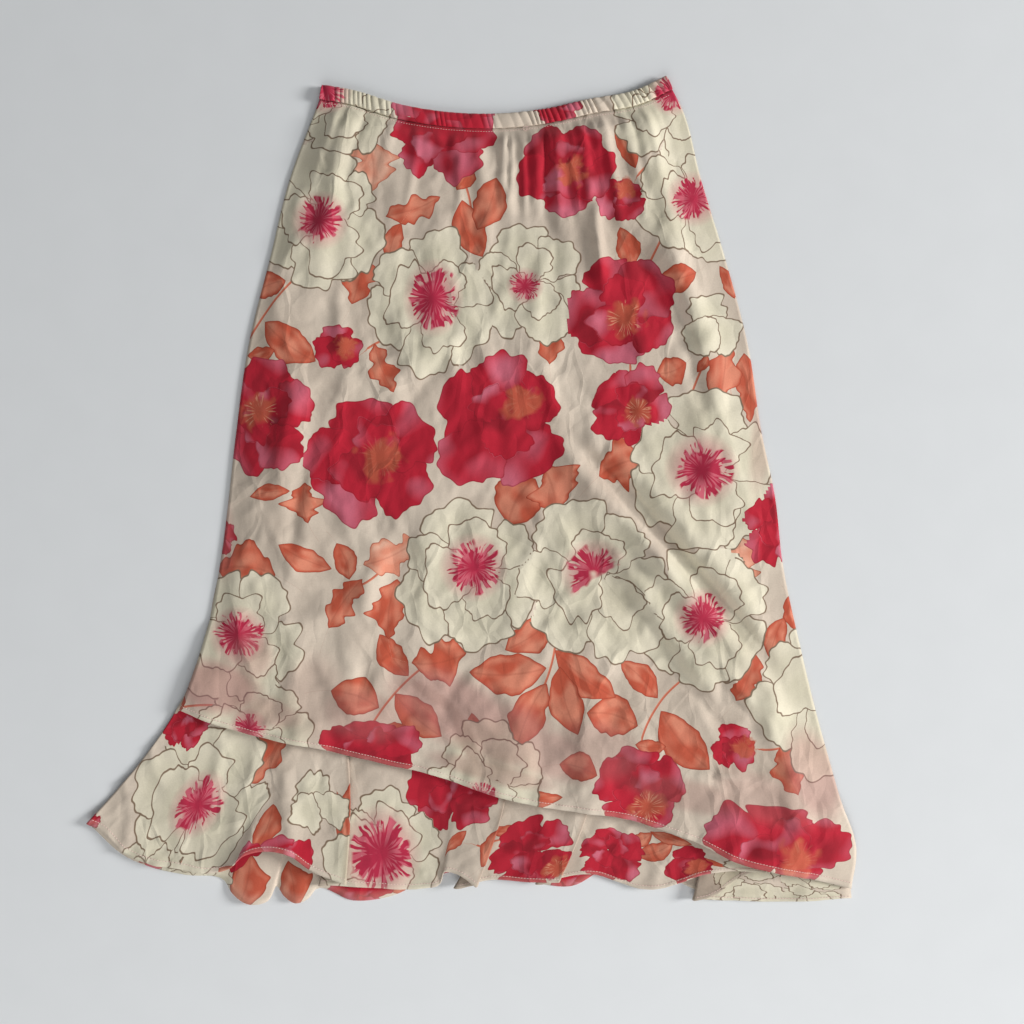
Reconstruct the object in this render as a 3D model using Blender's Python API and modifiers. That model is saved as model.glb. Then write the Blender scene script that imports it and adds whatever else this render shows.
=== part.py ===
"""Midi skirt of bias-cut chiffon with a flounced hem, laid flat on its back.

The tables are in millimetres and the meshes in metres. +X is to the right of the front,
+Y runs from the hem to the waist, and +Z points up from the surface the skirt lies on.
Every cloth piece is an open grid, moved onto its own surface and given its thickness by a
Solidify modifier.
"""

from collections import namedtuple

import bmesh
import bpy
import numpy as np

MM = 0.001

# Cloth, in mm
WALL = 1.0  # thickness of a layer of cloth
GAP = 0.3  # left between two pieces at a seam, and between two layers
HEM_HEIGHT = 5.0  # narrow double-turned hem
HEM_EXTRA = 0.4  # how much thicker the turned hem is than the cloth
CASING_HEIGHT = 12.8  # turned casing at the waist
CASING_WALL = 2.0  # its layers and the elastic in it
BACK_LEVEL = WALL / 2  # middle of the layer that lies on the surface
FRONT_LEVEL = WALL + GAP + WALL / 2  # middle of the layer above it
SEAM_REACH = GAP / 2  # taken off each of the two pieces that meet at a seam
WAIST_WIDTH = 330.0
HEM_WIDTH = 600.0
PANEL_LENGTH = 600.0  # of the front panel
HEM_SHARE = HEM_HEIGHT / PANEL_LENGTH

Point = namedtuple("Point", "x y")

# Line where the casing meets the panels, from the left side seam to the right one
WAIST_LINE = (
    Point(-136, 350),
    Point(-112, 346),
    Point(-64, 332),
    Point(-28, 326),
    Point(26, 324),
    Point(66, 328),
    Point(107, 337),
    Point(152, 346),
    Point(180, 359),
)

# Side seams, from the waist down
LEFT_SIDE = (
    WAIST_LINE[0],
    Point(-163, 279),
    Point(-181, 207),
    Point(-199, 135),
    Point(-212, 45),
    Point(-219, -18),
    Point(-225, -63),
    Point(-235, -117),
    Point(-248, -162),
    Point(-261, -197),
)
RIGHT_SIDE = (
    WAIST_LINE[-1],
    Point(188, 344),
    Point(206, 279),
    Point(228, 207),
    Point(249, 126),
    Point(260, 54),
    Point(273, -9),
    Point(279, -63),
    Point(296, -144),
    Point(309, -198),
    Point(320, -238),
    Point(332, -280),
    Point(345, -322),
    Point(340, -357),
)

# Hem of the front panel, which runs down from the left side to the right one
PANEL_HEM = (
    LEFT_SIDE[-1],
    Point(-220, -212),
    Point(-180, -222),
    Point(-128, -232),
    Point(-74, -245),
    Point(-45, -251),
    Point(18, -271),
    Point(69, -283),
    Point(101, -287),
    Point(143, -294),
    Point(175, -304),
    Point(201, -313),
    Point(237, -330),
    Point(269, -338),
    Point(296, -345),
    RIGHT_SIDE[-1],
)

# Line where the flounces are sewn on: to the back panel's edge, and under the front panel
FLOUNCE_LINE = (
    Point(-236, -139),
    Point(-180, -163),
    Point(-128, -173),
    Point(-60, -189),
    Point(18, -212),
    Point(69, -224),
    Point(130, -236),
    Point(201, -256),
    Point(269, -280),
    Point(333, -298),
)

# Largest folds of the front panel: soft ridges and troughs (height below zero), each along
# a bowed line from its first point to its second one
Crease = namedtuple("Crease", "x0 y0 x1 y1 bow width height")
PANEL_CREASES = (
    Crease(66, 90, 300, -250, 30, 15, 4.5),
    Crease(92, 40, 210, -215, 26, 20, -2.0),
    Crease(33, 318, 34, 240, 0, 5, 2.6),
    Crease(62, 322, 60, 235, 2, 6, 3.0),
    Crease(-108, 335, -135, 170, 4, 10, 2.2),
    Crease(-66, 322, -84, 150, -5, 11, 2.6),
    Crease(-22, 316, -30, 90, 6, 12, 3.0),
    Crease(4, 312, 12, 190, -4, 7, 1.8),
    Crease(100, 326, 128, 150, 6, 11, 2.6),
    Crease(148, 336, 186, 170, -5, 12, 2.6),
    Crease(-150, 120, -165, -100, 8, 16, 2.4),
    Crease(-95, 60, -112, -190, -9, 17, 2.8),
    Crease(-30, 10, -38, -225, 9, 16, 2.6),
    Crease(40, -40, 22, -250, -8, 17, 2.4),
    Crease(120, -90, 108, -270, 9, 16, 2.2),
    Crease(185, -230, 268, -300, -6, 9, 2.8),
    Crease(165, -268, 240, -262, 5, 8, 2.0),
)
PANEL_AIR = 1.5  # the front lies this much higher in the middle than at its sides
SIDE_SLOPE = 26.0  # over this width it comes down to the back at the sides
DRAPE_CURVE = 0.006  # per mm: how sharply the front comes down from what lies under it
DRAPE_BLEND = 0.8  # how softly the front's own height passes into that
DRAPE_BATCHES = 40  # the front's points are worked out in this many batches
CREASE_STARTS = (-0.05, 0.25)  # shares of a crease over which it rises
CREASE_ENDS = (1.05, 0.7)  # shares over which it fades

# Hem of each flounce from left to right, as ribs from its sewn line. line is the share of
# the sewn line where a rib starts, x and y are where it ends, fold is how high the folded
# layers hold it there, lift is how high the wave of the hem lifts it, and bow is how far
# its middle lies to the right of the straight line.
Rib = namedtuple("Rib", "line x y fold lift bow")
FRONT_RIBS = (
    Rib(0.000, -345, -299, 0.1, 0.0, 12),
    Rib(0.012, -333, -305, 0.4, 0.6, 10),
    Rib(0.030, -311, -326, 0.5, 1.2, 8),
    Rib(0.055, -288, -335, 0.6, 1.2, 6),
    Rib(0.085, -262, -339, 0.7, 1.2, 5),
    Rib(0.115, -236, -343, 0.8, 2.0, 4),
    Rib(0.135, -216, -338, 1.0, 5.0, 4),
    Rib(0.150, -203, -326, 1.2, 8.6, 4),
    Rib(0.170, -182, -321, 1.5, 10.0, 4),
    Rib(0.185, -163, -324, 2.0, 9.0, 4),
    Rib(0.198, -144, -338, 3.0, 5.5, 4),
    Rib(0.272, -80, -357, 0.6, 0.2, 4),
    Rib(0.335, -45, -357, 0.9, 0.4, 2),
    Rib(0.385, -28, -352, 1.2, 2.0, 2),
    Rib(0.418, -24, -341, 1.6, 4.4, 2),
    Rib(0.452, -11, -343, 2.6, 4.4, 2),
    Rib(0.548, 24, -349, 0.8, 0.4, 2),
    Rib(0.588, 42, -350, 2.4, 0.6, 2),
    Rib(0.646, 112, -345, 0.7, 0.2, 2),
    Rib(0.657, 133, -352, 1.0, 0.4, 1),
    Rib(0.668, 151, -357, 1.3, 0.6, 0),
    Rib(0.680, 172, -356, 1.8, 1.2, 0),
    Rib(0.693, 191, -349, 2.6, 2.6, 0),
    Rib(0.706, 208, -342, 4.2, 3.2, 0),
    Rib(0.850, 285, -369, 0.2, 0.0, 0),
    Rib(1.000, 341, -366, 0.1, 0.0, 0),
)
BACK_RIBS = (
    Rib(0.000, -341, -303, 0.0, 0.0, 12),
    Rib(0.030, -310, -330, 0.0, 0.0, 8),
    Rib(0.060, -288, -339, 0.0, 0.0, 6),
    Rib(0.100, -256, -346, 0.0, 0.0, 5),
    Rib(0.140, -222, -351, 0.0, 0.2, 4),
    Rib(0.150, -214, -362, 0.0, 2.8, 4),
    Rib(0.162, -198, -371, 0.0, 5.0, 4),
    Rib(0.174, -182, -368, 0.0, 3.2, 4),
    Rib(0.182, -175, -356, 0.0, 0.2, 4),
    Rib(0.190, -168, -364, 0.0, 2.6, 4),
    Rib(0.200, -157, -370, 0.0, 4.4, 4),
    Rib(0.210, -147, -367, 0.0, 2.2, 4),
    Rib(0.220, -140, -359, 0.0, 0.0, 4),
    Rib(0.250, -106, -369, 0.0, 0.0, 4),
    Rib(0.290, -72, -365, 0.0, 0.0, 4),
    Rib(0.350, -36, -348, 0.0, 0.0, 3),
    Rib(0.420, 18, -341, 0.0, 0.0, 3),
    Rib(0.480, 58, -353, 0.0, 0.0, 2),
    Rib(0.530, 90, -356, 0.0, 0.0, 2),
    Rib(0.580, 122, -340, 0.0, 0.0, 2),
    Rib(0.640, 166, -343, 0.0, 0.0, 0),
    Rib(0.700, 204, -360, 0.0, 0.0, 0),
    Rib(0.780, 252, -367, 0.0, 0.0, 0),
    Rib(0.880, 298, -366, 0.0, 0.0, 0),
    Rib(1.000, 340, -364, 0.0, 0.0, 0),
)

# Folds of the front flounce, where the cloth turns back under itself and forward again.
# after is the row of FRONT_RIBS that the fold follows, line_from and line_to its stretch of
# the sewn line, x and y the middle of the fold at the hem, depth how far it turns back,
# height its three layers, lift and bow as for a rib, and spread how far out the turned
# cloth's hem shows.
Fold = namedtuple("Fold", "after line_from line_to x y depth height lift bow spread")
FRONT_FOLDS = (
    Fold(10, 0.208, 0.232, -124, -351, 22, 6.2, 1.6, 9, 3),
    Fold(15, 0.484, 0.504, -5, -353, 18, 6.2, 2.0, 8, 3),
    Fold(17, 0.618, 0.634, 68, -350, 18, 6.2, 0.8, 7, 3),
    Fold(23, 0.720, 0.780, 230, -339, 60, 8.0, 2.6, 4, 28),
)
STEPS_IN_BEND = 3  # columns round one bend of a fold
STEPS_BACK = 2  # columns on the stretch between a fold's two bends
STEPS_PER_RIB = 2  # columns from one rib to the next
FOLD_RISE = 0.3  # power of the share along a rib: folded layers stack up early
LIFT_RISE = 2.2  # power of the share along a rib: waves rise near the hem
SEAM_BEND = 15.0  # degrees that a fold bends the cloth by at the sewn line
FULL_BEND = 0.37  # share along a rib at which the cloth has turned right back
BACK_FROM = 0.25  # share along a rib at which the stretch between two bends starts to grow
BACK_GROWS = 1.2  # power of what is left of the rib, by which that stretch grows
BOW_AFTER_FOLD = 2.0

# Gathers of the casing
GATHERS = 62
GATHER_DEPTH = 0.45
GATHER_SLANT = 1.6  # how far a gather leans over the casing's height
GATHER_UNEVEN = (2.0, 9.0)  # radians by which the waves run ahead, and how often they do
CASING_ROUND = 0.9  # how much higher the casing's middle is than its edges
POINTS_PER_GATHER = 3

# Steps of the grids, across and down
PANEL_STEPS = (32, 26)
BACK_STEPS = (24, 14)
FRONT_FLOUNCE_ROWS = 8
FLOUNCE_ROWS_UNDER = 24  # rows of its points that the front panel is laid over
BACK_FLOUNCE_ROWS = 4
CASING_ROWS = 3
BACK_CASING_STEPS = (24, 1)
SIDE_MARGIN = 20.0  # a side's points this near above its end are left out

Finish = namedtuple("Finish", "colour roughness")
PRINTED_CHIFFON = Finish((0.72, 0.58, 0.50), 0.8)
CASING_CHIFFON = Finish((0.62, 0.22, 0.22), 0.8)


def smooth_step(low, high, value):
    """0 below low, 1 above high, and a soft slope between them."""
    share = np.clip((value - low) / (high - low), 0.0, 1.0)
    return share * share * (3.0 - 2.0 * share)


def chords(points):
    """Share of the way along a line of points at which each one lies."""
    steps = np.linalg.norm(np.diff(points, axis=0), axis=1)
    along = np.concatenate([[0.0], np.cumsum(steps)])
    return along / along[-1]


def smooth_curve(points, shares, knots=None):
    """Places on the smooth curve through some points, at shares from 0 to 1."""
    points = np.asarray(points, float)
    if knots is None:
        knots = chords(points)
    slopes = np.gradient(points, knots, axis=0)
    first = np.clip(np.searchsorted(knots, shares, "right") - 1, 0, len(knots) - 2)
    width = (knots[first + 1] - knots[first])[:, None]
    t = (shares - knots[first])[:, None] / width
    return (
        (2 * t**3 - 3 * t**2 + 1) * points[first]
        + (t**3 - 2 * t**2 + t) * width * slopes[first]
        + (3 * t**2 - 2 * t**3) * points[first + 1]
        + (t**3 - t**2) * width * slopes[first + 1]
    )


def beside(points, distance):
    """A line of points moved to its left by a distance, as seen along it."""
    points = np.asarray(points, float)
    along = np.gradient(points, axis=0)
    along /= np.linalg.norm(along, axis=1)[:, None]
    return points + distance * np.stack([-along[:, 1], along[:, 0]], axis=1)


def between_sides(top, bottom, left, right, u, v):
    """Points of a patch with four curved sides, at shares u across and v down."""
    ends = np.array([0.0, 1.0])
    corner = {
        "tl": smooth_curve(top, ends)[0],
        "tr": smooth_curve(top, ends)[1],
        "bl": smooth_curve(bottom, ends)[0],
        "br": smooth_curve(bottom, ends)[1],
    }
    across, down = u[:, None], v[:, None]
    ruled_down = (1 - down) * smooth_curve(top, u) + down * smooth_curve(bottom, u)
    ruled_across = (1 - across) * smooth_curve(left, v) + across * smooth_curve(right, v)
    flat = (1 - down) * ((1 - across) * corner["tl"] + across * corner["tr"]) + down * (
        (1 - across) * corner["bl"] + across * corner["br"]
    )
    return ruled_down + ruled_across - flat


def crease_height(crease, x, y):
    """How much one fold raises the cloth at each point."""
    ax, ay = crease.x1 - crease.x0, crease.y1 - crease.y0
    length = np.hypot(ax, ay)
    share = ((x - crease.x0) * ax + (y - crease.y0) * ay) / length**2
    off = ((x - crease.x0) * ay - (y - crease.y0) * ax) / length
    off = off - crease.bow * 4 * share * (1 - share)
    ends = smooth_step(*CREASE_STARTS, share) * smooth_step(*CREASE_ENDS, share)
    return crease.height * ends * np.exp(-((off / crease.width) ** 2))


# One rib with all that places it. depth and height are those of the fold it is carried
# across by, and below zero after one. round, back and out are the shares of the fold's
# first bend, middle stretch and second bend that lie before it, and inside is 1 in a fold.
Row = namedtuple("Row", "line x y fold lift bow depth height round back out inside")


def fold_offset(row, v):
    """How far a fold carries a rib's points across and down, at shares v along the rib.

    The cloth bends down by an angle, runs straight, and bends up again. The angle grows
    along the rib until the cloth has turned right back, and from there the straight
    stretch grows, so that the layers never touch."""
    rise = v**FOLD_RISE
    first = np.radians(SEAM_BEND)
    angle = first + (np.pi - first) * smooth_step(0.0, FULL_BEND, v)
    height = row.height * rise
    grown = np.clip((v - BACK_FROM) / (1 - BACK_FROM), 0.0, 1.0) ** BACK_GROWS
    straight = height / 2 / np.tan(angle / 2) + row.depth * grown
    bend = (height - straight * np.sin(angle)) / 2 / (1 - np.cos(angle))
    in_first, in_last = angle * row.round, angle * (1 - row.out)
    across = (
        straight * np.cos(angle) * (row.back - 0.5)
        + bend * (np.sin(in_first) - np.sin(in_last))
    )
    down = (
        bend * (1 - np.cos(in_first))
        + straight * np.sin(angle) * row.back
        + bend * (np.cos(in_last) - np.cos(angle))
    )
    return across, row.inside * down


def round_fold(fold):
    """The rows of one fold, with its two ends last as the rows beside it see them."""
    path = [(share, 0.0, 0.0) for share in np.linspace(0, 1, STEPS_IN_BEND + 1)]
    path += [(1.0, share, 0.0) for share in np.linspace(0, 1, STEPS_BACK + 1)[1:]]
    path += [(1.0, 1.0, share) for share in np.linspace(0, 1, STEPS_IN_BEND + 1)[1:]]

    def row(done, state, share, side=1.0, inside=1.0):
        return Row(
            line=fold.line_from + (fold.line_to - fold.line_from) * done,
            x=fold.x,
            y=fold.y - fold.spread * smooth_step(0, 1, share),
            fold=fold.height * (side > 0),
            lift=fold.lift * (1 - done),
            bow=fold.bow * (1 - done) + BOW_AFTER_FOLD * done,
            depth=side * fold.depth,
            height=side * fold.height,
            round=state[0],
            back=state[1],
            out=state[2],
            inside=inside,
        )

    last = len(path) - 1
    rows = [row(n / last, state, state[1]) for n, state in enumerate(path)]
    start = row(0.0, (0.0, 0.0, 0.0), 0.0, 1.0, 0.0)
    end = row(1.0, (0.0, 0.0, 0.0), 1.0, -1.0, 0.0)
    return rows, start, end


def between_folds(ribs, before, after):
    """The rows from one fold or edge to the next, on a smooth curve through the ribs."""
    ends = ([before] if before else []), ([after] if after else [])
    known = ends[0] + [Row(*rib, 0, 0, 0, 0, 0, 0) for rib in ribs] + ends[1]
    known = np.array(known, float)
    place = np.column_stack([known[:, 1] + 0.5 * known[:, 6], known[:, 2]])
    knots = chords(place)
    shares = np.linspace(0, len(known) - 1, STEPS_PER_RIB * (len(known) - 1) + 1)
    along = np.interp(shares, np.arange(len(known)), knots)
    rows = smooth_curve(known, along, knots)
    rows[:, 0] = np.interp(along, knots, known[:, 0])
    first = 1 if before else 0
    return rows[first : -1 if after else None]


def flounce_rows(ribs, folds):
    """All rows of a flounce from left to right, one for each column of its grid."""
    rounds = [round_fold(fold) for fold in folds]
    parts, first = [], 0
    for number in range(len(folds) + 1):
        before = rounds[number - 1][2] if number else None
        after = rounds[number][1] if number < len(folds) else None
        last = folds[number].after + 1 if after else len(ribs)
        parts.append(between_folds(ribs[first:last], before, after))
        if after:
            parts.append(np.array(rounds[number][0], float))
        first = last
    return np.concatenate(parts)


def flounce_places(rows, level, u, v):
    """Points of a flounce at shares u across its columns and v from its sewn line."""
    column = np.rint(u * (len(rows) - 1)).astype(int)
    row = Row(*rows[column].T)
    start = smooth_curve(beside(FLOUNCE_LINE, -SEAM_REACH), row.line)
    across, down = fold_offset(row, v)
    x = (1 - v) * start[:, 0] + v * row.x + row.bow * np.sin(np.pi * v) + across
    y = (1 - v) * start[:, 1] + v * row.y
    fold, lift = np.maximum(row.fold, 0), np.maximum(row.lift, 0)
    z = level + fold * v**FOLD_RISE + lift * v**LIFT_RISE - down
    return np.column_stack([x, y, z])


def over(points, below, clearance):
    """Heights at which a cloth lies over some points, coming down from them in a curve."""
    heights = np.zeros(len(points))
    for part in np.array_split(np.arange(len(points)), DRAPE_BATCHES):
        away = ((points[part, None, :2] - below[None, :, :2]) ** 2).sum(axis=2)
        tents = below[None, :, 2] + clearance - DRAPE_CURVE * away
        heights[part] = tents.max(axis=1)
    return heights


def soft_max(a, b, blend):
    """The larger of two heights, rounded where they meet."""
    share = np.clip(0.5 + 0.5 * (b - a) / blend, 0.0, 1.0)
    return a * (1 - share) + b * share + blend * share * (1 - share)


def front_panel_places(u, v, below):
    """Points of the front panel, over the flounce that lies under its lower part."""
    top = beside(WAIST_LINE, -SEAM_REACH)
    left = (top[0], *LEFT_SIDE[1:])
    right = (top[-1], *RIGHT_SIDE[1:])
    xy = between_sides(top, PANEL_HEM, left, right, u, v)
    x, y = xy[:, 0], xy[:, 1]
    width = WAIST_WIDTH + (HEM_WIDTH - WAIST_WIDTH) * v
    inside = smooth_step(0.0, SIDE_SLOPE, np.minimum(u, 1 - u) * width)
    raised = sum(crease_height(crease, x, y) for crease in PANEL_CREASES)
    free = FRONT_LEVEL + inside * (PANEL_AIR + np.maximum(raised, -PANEL_AIR))
    clearance = WALL + 5 * GAP + HEM_EXTRA
    laid = soft_max(free, over(xy, below, clearance), DRAPE_BLEND)
    return np.column_stack([xy, laid])


def back_panel_places(u, v):
    """Points of the back panel, flat on the surface."""
    top = beside(WAIST_LINE, -SEAM_REACH)
    line = beside(FLOUNCE_LINE, SEAM_REACH)
    left = cut_side(LEFT_SIDE, top[0], line[0])
    right = cut_side(RIGHT_SIDE, top[-1], line[-1])
    xy = between_sides(top, line, left, right, u, v)
    return np.column_stack([xy, np.full(len(u), BACK_LEVEL)])


def cut_side(side, start, end):
    """A side's points between a start and an end."""
    return (start, *(p for p in side[1:] if p.y > end[1] + SIDE_MARGIN), end)


def casing_places(u, v, level, depth, rounded):
    """Points of one half of the casing, gathered by waves and rounded in its middle."""
    low = smooth_curve(beside(WAIST_LINE, SEAM_REACH), u)
    high = smooth_curve(beside(WAIST_LINE, CASING_HEIGHT), u)
    xy = (1 - v)[:, None] * low + v[:, None] * high
    slant = GATHER_SLANT * v / WAIST_WIDTH
    ahead, often = GATHER_UNEVEN
    wave = np.cos(2 * np.pi * GATHERS * (u + slant) + ahead * np.sin(often * u))
    z = level + depth * (1 + wave) + rounded * np.sin(np.pi * v)
    return np.column_stack([xy, z])


def cloth(name, steps, places, wall, finish, group, hem=False):
    """A cloth piece: a grid moved onto its surface, with a Solidify modifier.

    With hem, the last row of faces is the turned hem, which is a little thicker."""
    bm = bmesh.new()
    across, down = steps
    bmesh.ops.create_grid(bm, x_segments=across, y_segments=down, size=0.5)
    plan = np.array([v.co for v in bm.verts])
    u, v = plan[:, 0] + 0.5, 0.5 - plan[:, 1]
    if hem:
        v = hem_rows(v, down)
    for vert, place in zip(bm.verts, places(u, v)):
        vert.co = place * MM
    bmesh.ops.recalc_face_normals(bm, faces=bm.faces)
    if sum(face.normal.z for face in bm.faces) < 0:
        bmesh.ops.reverse_faces(bm, faces=bm.faces)
    mesh = bpy.data.meshes.new(name)
    bm.to_mesh(mesh)
    bm.free()
    mesh.shade_smooth()
    mesh.materials.append(material(name + "_cloth", finish))
    piece = bpy.data.objects.new(name, mesh)
    group.objects.link(piece)
    shell = piece.modifiers.new("thickness", "SOLIDIFY")
    shell.offset = 0.0
    shell.thickness = wall * MM
    if hem:
        turned = piece.vertex_groups.new(name="turned_hem")
        turned.add([int(i) for i in np.flatnonzero(v > 1 - 1.5 * HEM_SHARE)], 1.0, "REPLACE")
        shell.thickness = (wall + HEM_EXTRA) * MM
        shell.vertex_group = turned.name
        shell.thickness_vertex_group = wall / (wall + HEM_EXTRA)
    return piece


def hem_rows(v, down):
    """Shares down a panel, with its last row of faces as narrow as the turned hem."""
    body = v * down / (down - 1) * (1 - HEM_SHARE)
    return np.where(v > 1 - 0.5 / down, 1.0, body)


def material(name, finish):
    """A plain material with a piece's colour and roughness."""
    made = bpy.data.materials.new(name)
    made.use_nodes = True
    shader = made.node_tree.nodes["Principled BSDF"]
    shader.inputs["Base Color"].default_value = (*finish.colour, 1.0)
    shader.inputs["Roughness"].default_value = finish.roughness
    shader.inputs["Metallic"].default_value = 0.0
    return made


def grid_shares(steps):
    """Shares across and down of a grid's points, as flat lists."""
    u, v = np.meshgrid(np.linspace(0, 1, steps[0] + 1), np.linspace(0, 1, steps[1] + 1))
    return u.ravel(), v.ravel()


def build():
    """The six cloth pieces, in a collection named for the skirt."""
    for thing in list(bpy.data.objects):
        bpy.data.objects.remove(thing, do_unlink=True)
    skirt = bpy.data.collections.new("midi_skirt")
    bpy.context.scene.collection.children.link(skirt)

    front_rows = flounce_rows(FRONT_RIBS, FRONT_FOLDS)
    back_rows = flounce_rows(BACK_RIBS, ())
    front_flounce_steps = (len(front_rows) - 1, FRONT_FLOUNCE_ROWS)
    back_flounce_steps = (len(back_rows) - 1, BACK_FLOUNCE_ROWS)

    def front_flounce(u, v):
        return flounce_places(front_rows, FRONT_LEVEL, u, v)

    def back_flounce(u, v):
        return flounce_places(back_rows, BACK_LEVEL, u, v)

    under = front_flounce(*grid_shares((front_flounce_steps[0], FLOUNCE_ROWS_UNDER)))

    def front_panel(u, v):
        return front_panel_places(u, v, under)

    def back_casing(u, v):
        return casing_places(u, v, CASING_WALL / 2, 0.0, 0.0)

    def front_casing(u, v):
        level = 1.5 * CASING_WALL + GAP
        return casing_places(u, v, level, GATHER_DEPTH, CASING_ROUND)

    gathered = (GATHERS * POINTS_PER_GATHER, CASING_ROWS)
    chiffon, casing = PRINTED_CHIFFON, CASING_CHIFFON
    cloth("back_panel", BACK_STEPS, back_panel_places, WALL, chiffon, skirt)
    cloth("back_flounce", back_flounce_steps, back_flounce, WALL, chiffon, skirt)
    cloth("front_flounce", front_flounce_steps, front_flounce, WALL, chiffon, skirt)
    cloth("front_panel", PANEL_STEPS, front_panel, WALL, chiffon, skirt, hem=True)
    cloth("waist_casing_back", BACK_CASING_STEPS, back_casing, CASING_WALL, casing, skirt)
    cloth("waist_casing_front", gathered, front_casing, CASING_WALL, casing, skirt)


build()
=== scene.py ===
"""Midi skirt of printed chiffon, laid flat on its back: its thin cloth, print and sewing.

The tables are in millimetres and the meshes in metres. +X is to the right of the front,
+Y runs from the hem to the waist, and +Z points up from the surface the skirt lies on. The
cloth pieces lie on the middle surfaces of their solids, so they repeat the solids' tables
and formulas with finer steps, and add gathers, small creases and stitches.
"""

from __future__ import annotations

import logging
import math
from collections.abc import Callable, Sequence
from dataclasses import dataclass
from enum import Enum
from typing import NamedTuple

import bmesh
import bpy
import numpy as np
from mathutils import Matrix, Vector, noise

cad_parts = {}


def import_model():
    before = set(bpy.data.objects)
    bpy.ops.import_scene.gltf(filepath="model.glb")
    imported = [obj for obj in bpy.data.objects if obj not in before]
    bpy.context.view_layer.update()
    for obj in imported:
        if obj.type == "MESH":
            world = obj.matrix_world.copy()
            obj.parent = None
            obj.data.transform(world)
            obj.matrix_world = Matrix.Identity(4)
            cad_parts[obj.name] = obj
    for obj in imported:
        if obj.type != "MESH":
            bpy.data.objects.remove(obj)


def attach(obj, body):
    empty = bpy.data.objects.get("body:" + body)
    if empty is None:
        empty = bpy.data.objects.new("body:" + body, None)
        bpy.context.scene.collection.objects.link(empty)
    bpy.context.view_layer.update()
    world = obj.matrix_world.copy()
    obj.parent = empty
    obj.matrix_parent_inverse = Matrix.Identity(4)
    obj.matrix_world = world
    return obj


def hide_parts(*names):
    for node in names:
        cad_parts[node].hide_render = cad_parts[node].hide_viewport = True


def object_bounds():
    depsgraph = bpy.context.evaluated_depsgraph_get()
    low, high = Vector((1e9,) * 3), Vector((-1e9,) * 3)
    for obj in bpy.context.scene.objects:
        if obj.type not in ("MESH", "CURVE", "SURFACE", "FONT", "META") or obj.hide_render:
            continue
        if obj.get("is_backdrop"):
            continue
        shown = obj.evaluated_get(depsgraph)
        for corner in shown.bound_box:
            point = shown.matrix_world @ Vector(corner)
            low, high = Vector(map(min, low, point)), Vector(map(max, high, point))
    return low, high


LOG = logging.getLogger("midi_skirt")
MM = 0.001
Colour = tuple[float, float, float, float]
Places = Callable[[np.ndarray, np.ndarray], np.ndarray]

# Cloth, in mm
WALL = 1.0  # thickness of a layer of cloth in the solids
GAP = 0.3  # left between two solids at a seam
HEM_HEIGHT = 5.0
HEM_EXTRA = 0.4  # how much thicker the solids' turned hem is
CASING_HEIGHT = 12.8
CASING_WALL = 2.0
CHIFFON = 0.35  # what a layer looks like: real chiffon is about 0.2 mm thick
TURNED = 0.8  # the same cloth turned twice at a hem
BACK_LEVEL = WALL / 2
FRONT_LEVEL = WALL + GAP + WALL / 2
SEAM_OVERLAP = 0.3  # the thin cloths run this far past a seam's line, to close it
WAIST_WIDTH = 330.0
HEM_WIDTH = 600.0
PANEL_LENGTH = 600.0
HEM_SHARE = HEM_HEIGHT / PANEL_LENGTH


def table(columns: Callable[..., tuple], *rows: Sequence[object]) -> tuple:
    """Gives each row of a table its columns' names."""
    return tuple(columns(*row) for row in rows)


class Point(NamedTuple):
    """A place on the plan of the skirt."""

    x: float
    y: float


# Line where the casing meets the panels, from the left side seam to the right one
WAIST_LINE = table(
    Point,
    (-136, 350), (-112, 346), (-64, 332), (-28, 326), (26, 324), (66, 328), (107, 337), (152, 346),
    (180, 359),
)

# Side seams, from the waist down
LEFT_SIDE = table(
    Point,
    WAIST_LINE[0], (-163, 279), (-181, 207), (-199, 135), (-212, 45), (-219, -18), (-225, -63),
    (-235, -117), (-248, -162), (-261, -197),
)
RIGHT_SIDE = table(
    Point,
    WAIST_LINE[-1], (188, 344), (206, 279), (228, 207), (249, 126), (260, 54), (273, -9),
    (279, -63), (296, -144), (309, -198), (320, -238), (332, -280), (345, -322), (340, -357),
)

# Hem of the front panel, which runs down from the left side to the right one
PANEL_HEM = table(
    Point,
    LEFT_SIDE[-1], (-220, -212), (-180, -222), (-128, -232), (-74, -245), (-45, -251), (18, -271),
    (69, -283), (101, -287), (143, -294), (175, -304), (201, -313), (237, -330), (269, -338),
    (296, -345), RIGHT_SIDE[-1],
)

# Line where the flounces are sewn on: to the back panel's edge, and under the front panel
FLOUNCE_LINE = table(
    Point,
    (-236, -139), (-180, -163), (-128, -173), (-60, -189), (18, -212), (69, -224), (130, -236),
    (201, -256), (269, -280), (333, -298),
)


class Crease(NamedTuple):
    """A soft ridge, or a trough where height is below zero, along a bowed line."""

    x0: float
    y0: float
    x1: float
    y1: float
    bow: float
    width: float
    height: float


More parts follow.
